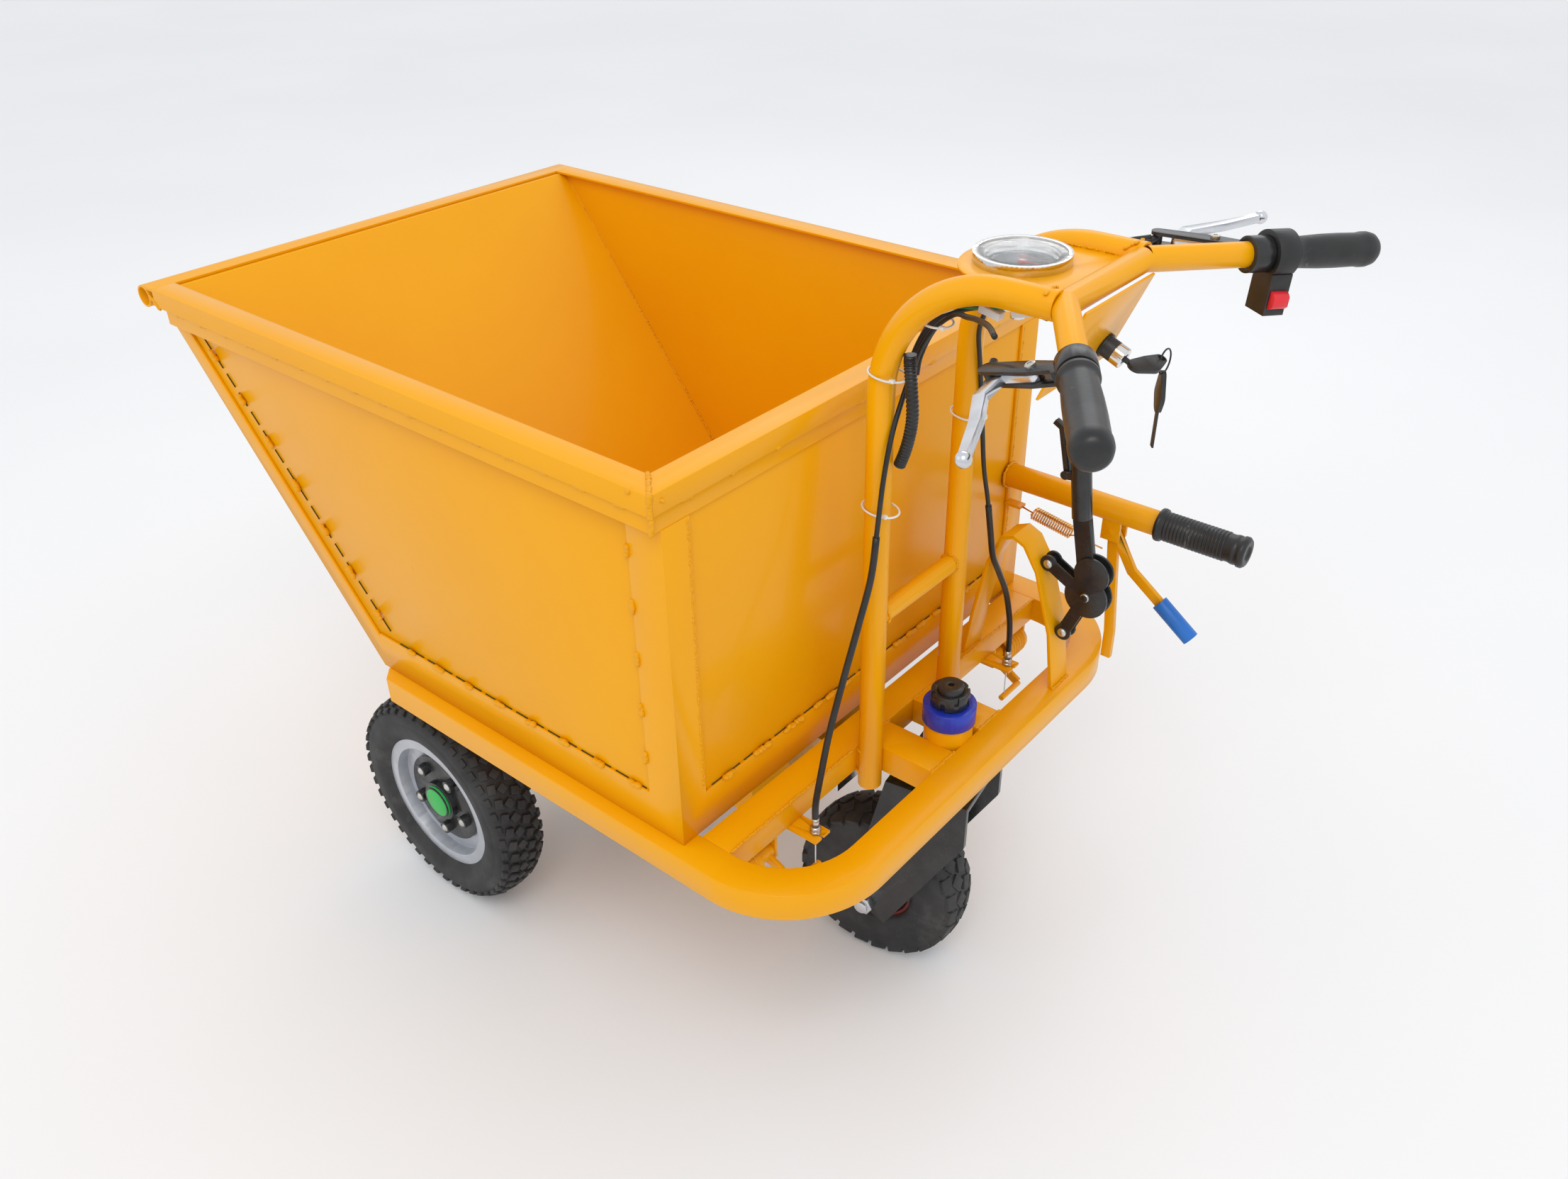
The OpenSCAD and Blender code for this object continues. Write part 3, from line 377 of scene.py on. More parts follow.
# ---------------------------------------------------------------- materials
class Paint:
    """Collects the nodes of one procedural finish."""

    def __init__(self, name, **sockets):
        self.mat = bpy.data.materials.new(name)
        self.mat.use_nodes = True
        self.nodes = self.mat.node_tree.nodes
        self.links = self.mat.node_tree.links
        self.shader = self.nodes["Principled BSDF"]
        self.coord = self.nodes.new("ShaderNodeTexCoord")
        for label, value in sockets.items():
            self.shader.inputs[label.replace("_", " ")].default_value = value
        self.height = None

    def noise(self, scale, detail=4, roughness=0.55, stretch=None):
        tex = self.nodes.new("ShaderNodeTexNoise")
        tex.inputs["Scale"].default_value = scale
        tex.inputs["Detail"].default_value = detail
        tex.inputs["Roughness"].default_value = roughness
        source = self.coord.outputs["Object"]
        if stretch:
            move = self.nodes.new("ShaderNodeMapping")
            move.inputs["Scale"].default_value = stretch
            self.links.new(source, move.inputs[0])
            source = move.outputs[0]
        self.links.new(source, tex.inputs["Vector"])
        return tex.outputs[0]

    def ramp(self, source, stops):
        ramp = self.nodes.new("ShaderNodeValToRGB")
        self.links.new(source, ramp.inputs[0])
        elements = ramp.color_ramp.elements
        while len(elements) < len(stops):
            elements.new(0.5)
        for element, (place, color) in zip(elements, stops):
            element.position = place
            element.color = color
        return ramp.outputs[0]

    def color(self, source, low, high, start=0.35, end=0.65):
        out = self.ramp(source, [(start, (*low, 1)), (end, (*high, 1))])
        self.links.new(out, self.shader.inputs["Base Color"])
        return out

    def chips(self, base, source, color, start, end):
        """Small spots of another colour over the base."""
        mask = self.ramp(source, [(start, (0, 0, 0, 1)), (end, (1, 1, 1, 1))])
        mix = self.nodes.new("ShaderNodeMix")
        mix.data_type = "RGBA"
        self.links.new(mask, mix.inputs[0])
        self.links.new(base, mix.inputs[6])
        mix.inputs[7].default_value = (*color, 1)
        self.links.new(mix.outputs[2], self.shader.inputs["Base Color"])
        return mix.outputs[2]

    def rough(self, source, low, high):
        spread = self.nodes.new("ShaderNodeMapRange")
        spread.inputs["To Min"].default_value = low
        spread.inputs["To Max"].default_value = high
        self.links.new(source, spread.inputs["Value"])
        self.links.new(spread.outputs[0], self.shader.inputs["Roughness"])

    def bump(self, source, strength, distance):
        made = self.nodes.new("ShaderNodeBump")
        made.inputs["Strength"].default_value = strength
        made.inputs["Distance"].default_value = distance
        self.links.new(source, made.inputs["Height"])
        if self.height is not None:
            self.links.new(self.height, made.inputs["Normal"])
        self.height = made.outputs[0]
        self.links.new(self.height, self.shader.inputs["Normal"])


def yellow_paint(base, name="yellow gloss paint", lumpy=0.25):
    p = Paint(name, Coat_Weight=0.12, Coat_Roughness=0.1, Specular_IOR_Level=0.2)
    deep = tuple(c * k for c, k in zip(base, (0.97, 0.93, 0.9)))
    tone = p.color(p.noise(3.5, 5), deep, base, 0.3, 0.7)
    p.chips(tone, p.noise(55, 8, 0.75), (0.5, 0.24, 0.02), 0.745, 0.78)
    p.rough(p.noise(9, 3), 0.24, 0.4)
    p.bump(p.noise(420, 2), lumpy, 0.0002)
    p.bump(p.noise(14, 2), 0.25, 0.0015)
    return p.mat


def black_finish(name, level, low, high, scale, strength, scuffs=False):
    p = Paint(name)
    tone = p.color(p.noise(30, 6), (level * 0.6,) * 3, (level * 1.5,) * 3)
    if scuffs:
        p.chips(tone, p.noise(60, 7, 0.7, (1, 1, 0.12)), (0.16, 0.16, 0.165), 0.62, 0.72)
    p.rough(p.noise(18, 4), low, high)
    p.bump(p.noise(scale, 4), strength, 0.0004)
    return p.mat


def metal_finish(name, color, low, high, stretch=(1, 1, 1)):
    p = Paint(name, Metallic=1.0)
    p.color(p.noise(22, 5), tuple(c * 0.8 for c in color), color)
    p.rough(p.noise(120, 4, 0.5, stretch), low, high)
    p.bump(p.noise(260, 3, 0.5, stretch), 0.08, 0.0002)
    return p.mat


def plastic_finish(name, color, low=0.25, high=0.4):
    p = Paint(name)
    p.color(p.noise(12, 4), tuple(c * 0.85 for c in color), tuple(min(1, c * 1.1) for c in color))
    p.rough(p.noise(30, 4), low, high)
    p.bump(p.noise(300, 3), 0.12, 0.0002)
    return p.mat


def tyre_finish():
    p = Paint("tyre rubber")
    tone = p.color(p.noise(16, 6), (0.012, 0.012, 0.013), (0.035, 0.034, 0.033))
    p.chips(tone, p.noise(9, 7, 0.7), (0.10, 0.095, 0.085), 0.58, 0.8)
    p.rough(p.noise(40, 4), 0.5, 0.78)
    p.bump(p.noise(240, 5), 0.3, 0.0005)
    return p.mat


def floor_finish():
    p = Paint("studio floor", Roughness=0.9)
    p.color(p.noise(0.8, 2), (0.86, 0.86, 0.86), (0.88, 0.88, 0.88))
    return p.mat


def glass_finish():
    p = Paint("gauge glass", Transmission_Weight=1.0, IOR=1.2, Alpha=0.3)
    p.color(p.noise(5, 2), (0.93, 0.96, 0.98), (1, 1, 1))
    p.rough(p.noise(40, 3), 0.01, 0.05)
    return p.mat


MATS = {}


def build_materials(look):
    yellow = tuple(look.paint)
    MATS.update({
        "yellow_paint": yellow_paint(yellow),
        "weld": yellow_paint(tuple(c * 0.92 for c in yellow), "painted weld", 0.6),
        "black_paint": black_finish("black gloss paint", 0.016, 0.18, 0.36, 200, 0.2),
        "black_plastic": black_finish("black plastic", 0.013, 0.32, 0.5, 300, 0.2),
        "black_rubber": black_finish("black rubber", 0.012, 0.28, 0.5, 180, 0.3, scuffs=True),
        "cable_black": black_finish("cable sheath", 0.011, 0.3, 0.45, 400, 0.15),
        "chrome": metal_finish("chrome", (0.82, 0.8, 0.78), 0.05, 0.14),
        "bare_metal": metal_finish("cast alloy", (0.75, 0.76, 0.79), 0.14, 0.3),
        "zinc": metal_finish("zinc plate", (0.66, 0.64, 0.6), 0.25, 0.42),
        "brass": metal_finish("brass", (0.72, 0.5, 0.2), 0.2, 0.38),
        "spring_wire": metal_finish("plated spring wire", (0.86, 0.5, 0.16), 0.18, 0.34),
        "motor_grey": plastic_finish("motor paint", (0.1, 0.105, 0.11), 0.4, 0.55),
        "blue_plastic": plastic_finish("blue bearing cap", (0.012, 0.035, 0.42), 0.2, 0.34),
        "blue_vinyl": plastic_finish("blue dipped grip", (0.01, 0.15, 0.55), 0.32, 0.48),
        "red_plastic": plastic_finish("red plastic", (0.72, 0.02, 0.03)),
        "green_cap": plastic_finish("green wheel cap", (0.01, 0.42, 0.06)),
        "white_plastic": plastic_finish("white nylon", (0.78, 0.78, 0.76), 0.35, 0.5),
        "dial_white": plastic_finish("dial ring", (0.8, 0.82, 0.83), 0.35, 0.5),
        "dial_black": plastic_finish("dial face", (0.025, 0.03, 0.035), 0.3, 0.45),
        "green_wire": plastic_finish("green wire", (0.02, 0.3, 0.1)),
        "silver_rim": plastic_finish("silver rim paint", (0.5, 0.52, 0.56), 0.28, 0.42),
        "dark_red_paint": plastic_finish("dark red paint", (0.16, 0.015, 0.01), 0.35, 0.5),
        "tyre_rubber": tyre_finish(),
        "clear_glass": glass_finish(),
        "floor": floor_finish(),
        # painted shade: the yellow paint darkened almost to black, laid into the open weld gaps to stand for their
        # shade
        "shade_in_gaps": plastic_finish("painted shade in gaps", (0.06, 0.03, 0.004), 0.7, 0.9),
    })
    MATS["silver_rim"].node_tree.nodes["Principled BSDF"].inputs["Metallic"].default_value = 0.55


# ---------------------------------------------------------------- properties
class WheelbarrowLook(bpy.types.PropertyGroup):
    """Colours and small sizes that a user would change."""

    paint: FloatVectorProperty(name="Paint", description="Colour of the steelwork", subtype="COLOR",
                               size=3, min=0, max=1, default=(0.86, 0.385, 0.0))
    edge: FloatProperty(name="Edge radius", description="Rounding of the steel edges in millimetres",
                        default=1.2, min=0.2, max=3)
    weld_size: FloatProperty(name="Weld bead", description="Radius of a weld bead in millimetres",
                             default=2.6, min=1, max=5)
    tread_count: IntProperty(name="Tread blocks", description="Blocks in one row round a front tyre",
                             default=44, min=20, max=60)
    rib_count: IntProperty(name="Grip ribs", description="Ribs on the rubber grip of the tip handle",
                           default=17, min=6, max=30)


# ---------------------------------------------------------------- operators
class OBJECT_OT_wheelbarrow_finishes(bpy.types.Operator):
    """Give every node of the frame its finish and soften its edges"""

    bl_idname = "object.wheelbarrow_finishes"
    bl_label = "Finishes"

    def execute(self, context):
        look = context.scene.wheelbarrow_look
        build_materials(look)
        for name, obj in NODES.items():
            obj.data.materials.clear()
            obj.data.materials.append(MATS[SLOT_OF[name]])
            weld = obj.modifiers.new("merge", "WELD")
            weld.merge_threshold = 1e-6
            bevel = obj.modifiers.new("edge", "BEVEL")
            bevel.width = look.edge * MM * 0.6
            bevel.segments = 2
            bevel.limit_method = "ANGLE"
            bevel.angle_limit = math.radians(38)
            bevel.harden_normals = True
            for poly in obj.data.polygons:
                poly.use_smooth = True
        return {"FINISHED"}


class OBJECT_OT_wheelbarrow_conduit(bpy.types.Operator):
    """Build the loose end of corrugated conduit"""

    bl_idname = "object.wheelbarrow_conduit"
    bl_label = "Loose conduit"

    def execute(self, context):
        route = [at(*p) for p in [(-98, 88, 1000), (-99, 88, 985), (-102, 88, 960), (-104, 87, 930),
                                  (-101, 86, 905), (-94, 84, 880), (-86, 82, 860)]]
        fine = smooth_path(route, 26)
        turns = 34
        obj = tube("loose_conduit_skin", fine,
                   lambda t: 6.9 + 0.6 * math.cos(t * turns * 2 * math.pi), 18)
        finish_piece(obj, MATS["cable_black"], "chassis", ["loose_conduit"])
        return {"FINISHED"}


class OBJECT_OT_wheelbarrow_cables(bpy.types.Operator):
    """Build the brake cables, their sleeves, wires and ties, and the wiring bundle"""

    bl_idname = "object.wheelbarrow_cables"
    bl_label = "Cables and wiring"

    def execute(self, context):
        routes = {
            "left": (1, [(-244, 162, 1080), (-222, 138, 1078), (-190, 108, 1068), (-165, 86, 1058),
                         (-140, 68, 1050), (-115, 62, 1030), (-98, 62, 1005), (-88, 66, 975),
                         (-84, 80, 938), (-84, 98, 900), (-84, 111, 850), (-84, 120, 790),
                         (-84, 130, 728), (-83, 152, 670), (-82, 176, 612), (-81, 204, 540),
                         (-81, 222, 480), (-81, 232, 440), (-81, 232, 412)]),
            "right": (-1, [(-244, -162, 1094), (-222, -138, 1090), (-190, -108, 1072),
                           (-165, -86, 1058), (-140, -70, 1050), (-115, -68, 1030), (-98, -68, 1005),
                           (-88, -70, 975), (-84, -84, 930), (-84, -96, 870), (-84, -112, 780),
                           (-84, -130, 720), (-84, -144, 665), (-84, -156, 622), (-83, -178, 585),
                           (-81, -208, 535), (-81, -226, 480), (-81, -232, 440), (-81, -232, 412)])}
        for side, (sign, points) in routes.items():
            path = smooth_path([at(*p) for p in points], 6)
            sleeve_start = int(len(path) * 0.62)
            parts = [tube("cable", path, 3.1, 12), tube("sleeve", path[sleeve_start:], 4.4, 14)]
            sheath = join("brake_cable_sheath_" + side, parts)
            finish_piece(sheath, MATS["cable_black"], "chassis",
                         ["brake_cable_" + side])
            screw = [tube("ferrule", [at(TAB_X, sign * TAB_Y, 418), at(TAB_X, sign * TAB_Y, 404)], 4.9, 16),
                     tube("thread", [at(TAB_X, sign * TAB_Y, z / 2) for z in range(2 * 384, 2 * 407)],
                          lambda t: 3.4 + 0.35 * math.cos(t * 22 * 2 * math.pi), 12)]
            for z in (393, 399, 384):
                ends = [at(TAB_X, sign * TAB_Y, z), at(TAB_X, sign * TAB_Y, z + 4.5)]
                screw.append(tube("nut", ends, 7.4, 6))
            adjuster = join("cable_adjuster_" + side, screw)
            finish_piece(adjuster, MATS["zinc"], "chassis")
            ends = [at(TAB_X, sign * TAB_Y, 386), at(TAB_X, sign * TAB_Y, 340)]
            wire = tube("relay_wire_" + side, ends, 0.9, 8)
            finish_piece(wire, MATS["bare_metal"], side + "_relay")
        self.bundle()
        self.ties()
        return {"FINISHED"}

    def bundle(self):
        rng = random.Random(7)
        route = [(-80, 66, 962), (-84, 66, 985), (-98, 64, 1018), (-122, 62, 1046), (-158, 60, 1062),
                 (-200, 54, 1070), (-235, 44, 1062)]
        parts = []
        for k in range(8):
            dx, dy, dz = (rng.uniform(-5, 5) for _ in range(3))
            path = smooth_path([at(x + dx, y + dy - 2 * k, z + dz) for x, y, z in route], 6)
            parts.append(tube("strand", path, rng.uniform(1.4, 2.6), 8))
        finish_piece(join("wiring_bundle", parts), MATS["cable_black"], "chassis")
        green = tube("green_wire", smooth_path([at(-120, 66, 1054), at(-150, 70, 1060), at(-185, 68, 1066),
                                               at(-210, 60, 1070)], 6), 1.3, 8)
        finish_piece(green, MATS["green_wire"], "chassis")
        plugs = []
        for x, y, z, turn in [(-128, 68, 1054, 0.5), (-150, 60, 1066, 0.2), (-182, 66, 1062, -0.2),
                              (-215, 56, 1066, 0.3)]:
            m = Matrix.Translation(at(x, y, z)) @ Matrix.Rotation(turn, 4, "Y")
            plugs.append(block("plug", (26, 12, 9), m))
        finish_piece(join("wiring_plugs", plugs), MATS["white_plastic"], "chassis")

    def ties(self):
        ties = []
        for x, y, z, reach in [(-68, 92, 972, 8), (-64, 92, 800, 8), (-64, -92, 855, 8),
                               (-112, 66, 1036, -4)]:
            ring = [at(x - 4 + (20 + reach / 2) * math.cos(a), y + 18.5 * math.sin(a),
                       z + 2 * math.cos(a)) for a in [k * math.pi / 16 for k in range(32)]]
            ties.append(tube("tie", ring, 1.3, 6, closed=True))
            ties.append(block("tie_head", (6, 5, 4), Matrix.Translation(at(x - 20, y + 14, z))))
        finish_piece(join("cable_ties", ties), MATS["white_plastic"], "chassis")


class OBJECT_OT_wheelbarrow_welds(bpy.types.Operator):
    """Lay the stitch welds and the rough beads along the seams"""

    bl_idname = "object.wheelbarrow_welds"
    bl_label = "Welds"

    def execute(self, context):
        look = context.scene.wheelbarrow_look
        tree = bead_tree(MATS["weld"])
        lo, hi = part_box("hopper_angles")
        side_y = hi[1] / MM
        z0 = lo[2] / MM
        stitch, beads = [], []
        top = z0 + 56
        for s in (-1, 1):
            y = s * (side_y + 0.2)
            stitch += self.dashes((50, y, top), (560, y, top), 62)
            stitch += self.dashes((57, y, top + 20), (57, y, 870), 66)
            stitch += self.dashes((568, y, 500), (905, y, 872), 66)
            stitch += self.dashes((20, s * 396, 899), (950, s * 396, 899), 58)
        for y0, y1 in ((-330, -60), (60, 330), (-330, 330)):
            stitch += self.dashes((2.8, y0, top), (2.8, y1, top), 60)
        stitch += self.dashes((3.5, -380, 899), (3.5, 380, 899), 70)
        beads += [[(4, s * 344, 500), (4, s * 344, 870)] for s in (-1, 1)]
        beads += [[(603, -375, 441), (603, 375, 441)], [(12, -376, 442), (12, -376, 890)],
                  [(12, 376, 442), (12, 376, 890)],
                  [(598, -376, 442), (976, -376, 919)], [(598, 376, 442), (976, 376, 919)]]
        self.lay_gap_shading(side_y, top)
        hop = self.lay("hopper_stitch_welds", stitch, tree, look, 0.0036, 1.55)
        finish_piece(hop, None, "hopper")
        corner = []
        for s in (-1, 1):
            corner += [[(4, s * 396, 925), (36, s * 364, 925)], [(1, s * 399, 925), (1, s * 399, 882)],
                       [(0, s * 384, 915), (30, s * 399, 922)]]
            corner += [[(975, s * 399, 900), (990, s * 399, 912)]]
        runs = self.lay("hopper_weld_runs", beads, tree, look, 0.0034, 0.85)
        finish_piece(runs, None, "hopper")
        mitres = self.lay("rim_corner_welds", corner, tree, look, 0.003, 1.25)
        finish_piece(mitres, None, "hopper")
        frame = [[(-49, -355, 433.5), (-49, -112, 433.5)], [(-49, 112, 433.5), (-49, 355, 433.5)],
                 [(-156, -82, 433), (-156, -31, 433)], [(-156, 31, 433), (-156, 82, 433)],
                 [(-49, -82, 433), (-49, -31, 433)], [(-49, 31, 433), (-49, 82, 433)]]
        for s in (-1, 1):
            for z in (394, 430):
                frame.append(self.ring((-60, s * 92, z), 14, 30))
            frame.append([(-274 + 18, s * 78, 1106), (-274 + 10, s * 84, 1112), (-262, s * 102, 1110)])
            frame.append([(-268, s * 76, 1085), (-262, s * 104, 1086)])
            frame.append([(-246, s * 77, 1098), (-170, s * 77, 1098)])
            frame.append(self.ring((-64, s * 77, 640), 13.2, 24, flat=True))
        frame += [[(-187, y, 434), (-183, y, 434)] for y in (-212, -172)]
        frame += [[(-42, -213, 434), (-38, -171, 434)], [(-189, -213, 434), (-189, -171, 434)]]
        rig = self.lay("frame_weld_runs", frame, tree, look, 0.0034, 0.75)
        finish_piece(rig, None, "chassis")
        root = self.lay("tip_handle_weld", [self.ring((2, TIP_Y, TIP_Z), 19, 30, across=True)], tree, look,
                        0.004, 0.9)
        finish_piece(root, None, "hopper")
        return {"FINISHED"}

    def lay_gap_shading(self, side_y, top):
        """Painted shade: dark strips laid in the open gaps between the stitches, standing for the yellow steel in
        shade inside each gap.
        """
        lines = []
        for s in (-1, 1):
            y = s * (side_y - 3.2)
            lines += [((60, y, top + 0.4), (560, y, top + 0.4)), ((57.6, y, 500), (57.6, y, 868)),
                      ((571, y, 500), (908, y, 872))]
        lines += [((6.4, y0, top + 0.4), (6.4, y1, top + 0.4)) for y0, y1 in ((-330, 330),)]
        parts = []
        for a, b in lines:
            for dash in self.dashes(a, b, 30):
                a0, b0 = Vector(dash[0]), Vector(dash[1])
                way = (b0 - a0).normalized()
                # each dash is a strip of painted shade along an open gap
                parts.append(tube("shadow_strip", [at(*(a0 - way * 6)), at(*(b0 + way * 6))], 0.9, 6))
        finish_piece(join("painted_gap_shadow_strips", parts), MATS["shade_in_gaps"], "hopper")

    def dashes(self, a, b, pitch):
        """Short runs at a pitch along a seam."""
        a, b = Vector(a), Vector(b)
        count = max(2, int((b - a).length / pitch))
        along = (b - a).normalized()
        return [[tuple(a + (b - a) * (k + 0.5) / count - along * 5),
                 tuple(a + (b - a) * (k + 0.5) / count + along * 5)] for k in range(count)]

    def ring(self, c, r, steps, flat=False, across=False):
        out = []
        for k in range(steps + 1):
            a = 2 * math.pi * k / steps
            u, v = r * math.cos(a), r * math.sin(a)
            if across:
                out.append((c[0], c[1] + u, c[2] + v))
            elif flat:
                out.append((c[0] + u, c[1], c[2] + v))
            else:
                out.append((c[0] + u, c[1] + v, c[2]))
        return out

    def lay(self, name, lines, tree, look, spacing, scale):
        mesh = bpy.data.meshes.new(name)
        verts, edges = [], []
        for line in lines:
            start = len(verts)
            verts += [at(*p) for p in line]
            edges += [(start + i, start + i + 1) for i in range(len(line) - 1)]
        mesh.from_pydata(verts, edges, [])
        obj = new_object(name, mesh)
        return tree.run(obj, Spacing=spacing, Size=look.weld_size * MM * scale, Seed=len(lines))


class OBJECT_OT_wheelbarrow_front_wheels(bpy.types.Operator):
    """Build the front tyres with their tread, the nuts, valves and caps"""

    bl_idname = "object.wheelbarrow_front_wheels"
    bl_label = "Front wheels"

    def execute(self, context):
        look = context.scene.wheelbarrow_look
        tree = wheel_tree(MATS["tyre_rubber"])
        nuts = wheel_tree(MATS["zinc"])
        for side, sign in (("left", 1), ("right", -1)):
            centre = at(FRONT_WHEEL_X, sign * FRONT_WHEEL_Y, FRONT_WHEEL_Z)
            profile = self.section()
            carcass = turned("carcass", [(r, sign * h) for r, h in profile], centre, (0, 1, 0), 128, True)
            parts = [carcass]
            n = look.tread_count
            for lane, radius, size, skew, start in (
                    (8, 174.0, (13, 13, 7), 0.45, 0.0), (-8, 174.0, (13, 13, 7), -0.45, 0.5),
                    (23, 171.5, (15, 12, 7), -0.3, 0.25), (-23, 171.5, (15, 12, 7), 0.3, 0.75),
                    (34.5, 164.0, (13, 9, 9), 0.0, 0.6), (-34.5, 164.0, (13, 9, 9), 0.0, 0.1)):
                tilt = math.radians(-lane * 0.95)
                shape = (Matrix.Translation((0, lane * MM, radius * MM)) @ Matrix.Rotation(tilt, 4, "X")
                         @ Matrix.Rotation(skew, 4, "Z"))
                lug = block("lug", size, shape)
                tread = tree.run(lug, Count=n, Start=start * 2 * math.pi / n)
                tread.data.transform(Matrix.Translation(centre))
                parts.append(tread)
            tyre = join("front_tyre_" + side, parts)
            finish_piece(tyre, MATS["tyre_rubber"], side + "_wheel", ["tyre_" + side])
            self.nuts(nuts, side, sign, centre)
            self.cap(side, sign, centre)
        return {"FINISHED"}

    def section(self):
        """Half profile of the tyre, from the outer bead over the crown to the inner bead."""
        half = [(116, 33), (122, 38), (132, 41.3), (145, 41.6), (146, 40.9), (150, 41), (158, 39),
                (165, 34), (169.5, 26), (171.6, 14), (172.2, 0)]
        inner = [(104, 26), (104, 0)]
        return [(116, -33), *[(r, -h) for r, h in half[1:]], *[(r, h) for r, h in reversed(half[:-1])],
                *inner[:1], (104, -26)]

    def nuts(self, tree, side, sign, centre):
        y = sign * FACE_Y
        path = [Vector((55 * MM, (y + sign * h) * MM, 0)) for h in (4, 12, 12.5, 16, 19, 20.5)]
        radii = (9.5, 9.5, 8.2, 7.4, 4.6, 0.5)
        body = tube("nut", path, lambda t: radii[min(5, int(round(t * 5)))], 12)
        made = tree.run(body, Count=5, Start=0.35)
        made.data.transform(Matrix.Translation(centre))
        for poly in made.data.polygons:
            poly.use_smooth = True
        made.name = "wheel_nuts_" + side
        finish_piece(made, None, side + "_wheel")

    def cap(self, side, sign, centre):
        rise = [(0.1, 33.5), (20, 33), (26, 31.5), (27.6, 29), (27.8, 22)]
        cap = turned("hub_cap_" + side, [(r, sign * h) for r, h in rise], centre, (0, 1, 0), 48)
        finish_piece(cap, MATS["green_cap"], side + "_wheel")
        stem = [centre + Vector((math.cos(a) * r, 0, math.sin(a) * r)) * MM + Vector((0, sign * h * MM, 0))
                for r, h, a in ((96, 12, 2.35), (84, 15, 2.35), (74, 20, 2.35))]
        valve = tube("valve_stem_" + side, stem, 3.2, 12)
        finish_piece(valve, MATS["brass"], side + "_wheel")
        lid = tube("valve_lid_" + side,
                   [stem[1] * 0.3 + stem[2] * 0.7, stem[2] * 1.5 - stem[1] * 0.5], 4, 12)
        finish_piece(lid, MATS["black_plastic"], side + "_wheel")


class OBJECT_OT_wheelbarrow_rear_wheel(bpy.types.Operator):
    """Build the solid rear tyre with its grooves"""

    bl_idname = "object.wheelbarrow_rear_wheel"
    bl_label = "Rear wheel"

    def execute(self, context):
        joint = next(j for j in FRAME["joints"] if j["child"] == "rear_wheel")
        centre = Vector(joint["pos_m"])
        axis = Vector(joint["axis"])
        yaw = Matrix.Rotation(math.atan2(-axis.x, axis.y), 4, "Z")
        profile = [(58, 38), (66, 39.5), (90, 39.5), (94, 38), (112, 39.5), (118, 36), (124, 30),
                   (126, 18), (126.4, 0)]
        ring = profile + [(r, -h) for r, h in reversed(profile[:-1])]
        parts = [turned("core", ring, Vector((0, 0, 0)), (0, 1, 0), 96, True)]
        tree = wheel_tree(MATS["tyre_rubber"])
        count = 26
        for lane, radius, size, skew, start in (
                (11, 125.2, (20, 19, 8), 0.5, 0), (-11, 125.2, (20, 19, 8), -0.5, 0.5),
                (29, 118.4, (23, 19, 13), -0.16, 0.3), (-29, 118.4, (23, 19, 13), 0.16, 0.8)):
            tilt = math.radians(-lane * 0.55)
            shape = (Matrix.Translation((0, lane * MM, radius * MM)) @ Matrix.Rotation(tilt, 4, "X")
                     @ Matrix.Rotation(skew, 4, "Z"))
            parts.append(tree.run(block("lug", size, shape, 0.12), Count=count,
                                  Start=start * 2 * math.pi / count))
        tyre = join("rear_tyre_tread", parts)
        tyre.data.transform(Matrix.Translation(centre) @ yaw)
        finish_piece(tyre, MATS["tyre_rubber"], "rear_wheel", ["rear_tyre"])
        return {"FINISHED"}


class OBJECT_OT_wheelbarrow_grips(bpy.types.Operator):
    """Build the tip handle's ribbed grip and the two hand grips"""

    bl_idname = "object.wheelbarrow_grips"
    bl_label = "Grips"

    def execute(self, context):
        look = context.scene.wheelbarrow_look
        lo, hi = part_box("tip_grip")
        root = Vector((hi[0], (lo[1] + hi[1]) / 2, (lo[2] + hi[2]) / 2))
        length = (hi[0] - lo[0]) / MM
        base = [(17.2, 0), (23.4, 0.4), (23.9, 3), (23.2, 6.6), (20.4, 8), (19.6, length - 22),
                (20.8, length - 18), (20.8, length - 14), (19.6, length - 12), (22, length - 9),
                (22, length - 4), (19, length - 0.6),
                (11, length - 0.3), (9, length - 3), (0.1, length - 3)]
        sleeve = turned("sleeve", base, root, (-1, 0, 0), 64)
        rib = turned("rib", [(19.3, -1.6), (20.9, -1.1), (20.9, 1.1), (19.3, 1.6)],
                     Vector((0, 0, 0)), (0, 0, 1), 48)
        ribs = row_tree(MATS["black_rubber"]).run(rib, Count=look.rib_count, Pitch=5.2 * MM)
        turn = Matrix.Rotation(math.radians(-90), 4, "Y")
        ribs.data.transform(Matrix.Translation(root + Vector((-0.014, 0, 0))) @ turn)
        grip = join("tip_grip_rubber", [sleeve, ribs])
        finish_piece(grip, MATS["black_rubber"], "hopper", ["tip_grip"])
        self.hand("left_hand_grip", 1, 154.2, "chassis", "grip_left")
        self.hand("right_hand_grip", -1, 178, "throttle", "throttle_grip")
        return {"FINISHED"}

    def hand(self, name, side, start, body, piece):
        """A hand grip with a flange, a swell and a rounded end, along the drooping bar."""
        level = math.cos(BAR_DROOP)
        along = Vector((math.cos(BAR_SWEEP) * level, side * math.sin(BAR_SWEEP) * level,
                        -math.sin(BAR_DROOP)))
        length = GRIP_END - start
        profile = [(14.3, 0), (19.9, 0.2), (19.9, 5), (17.6, 8), (17.4, 16), (18.6, length * 0.35),
                   (18.9, length * 0.55),
                   (18.4, length - 26), (19.4, length - 20), (19.4, length - 13), (17.6, length - 6),
                   (14, length - 1.6), (8, length - 0.2), (0.1, length)]
        bend = at(BAR_BEND[0], side * BAR_BEND[1], BAR_BEND[2])
        sleeve = turned("sleeve", profile, bend + along * start * MM, along, 64)
        grip = join(name, [sleeve])
        finish_piece(grip, MATS["black_rubber"], body, [piece])


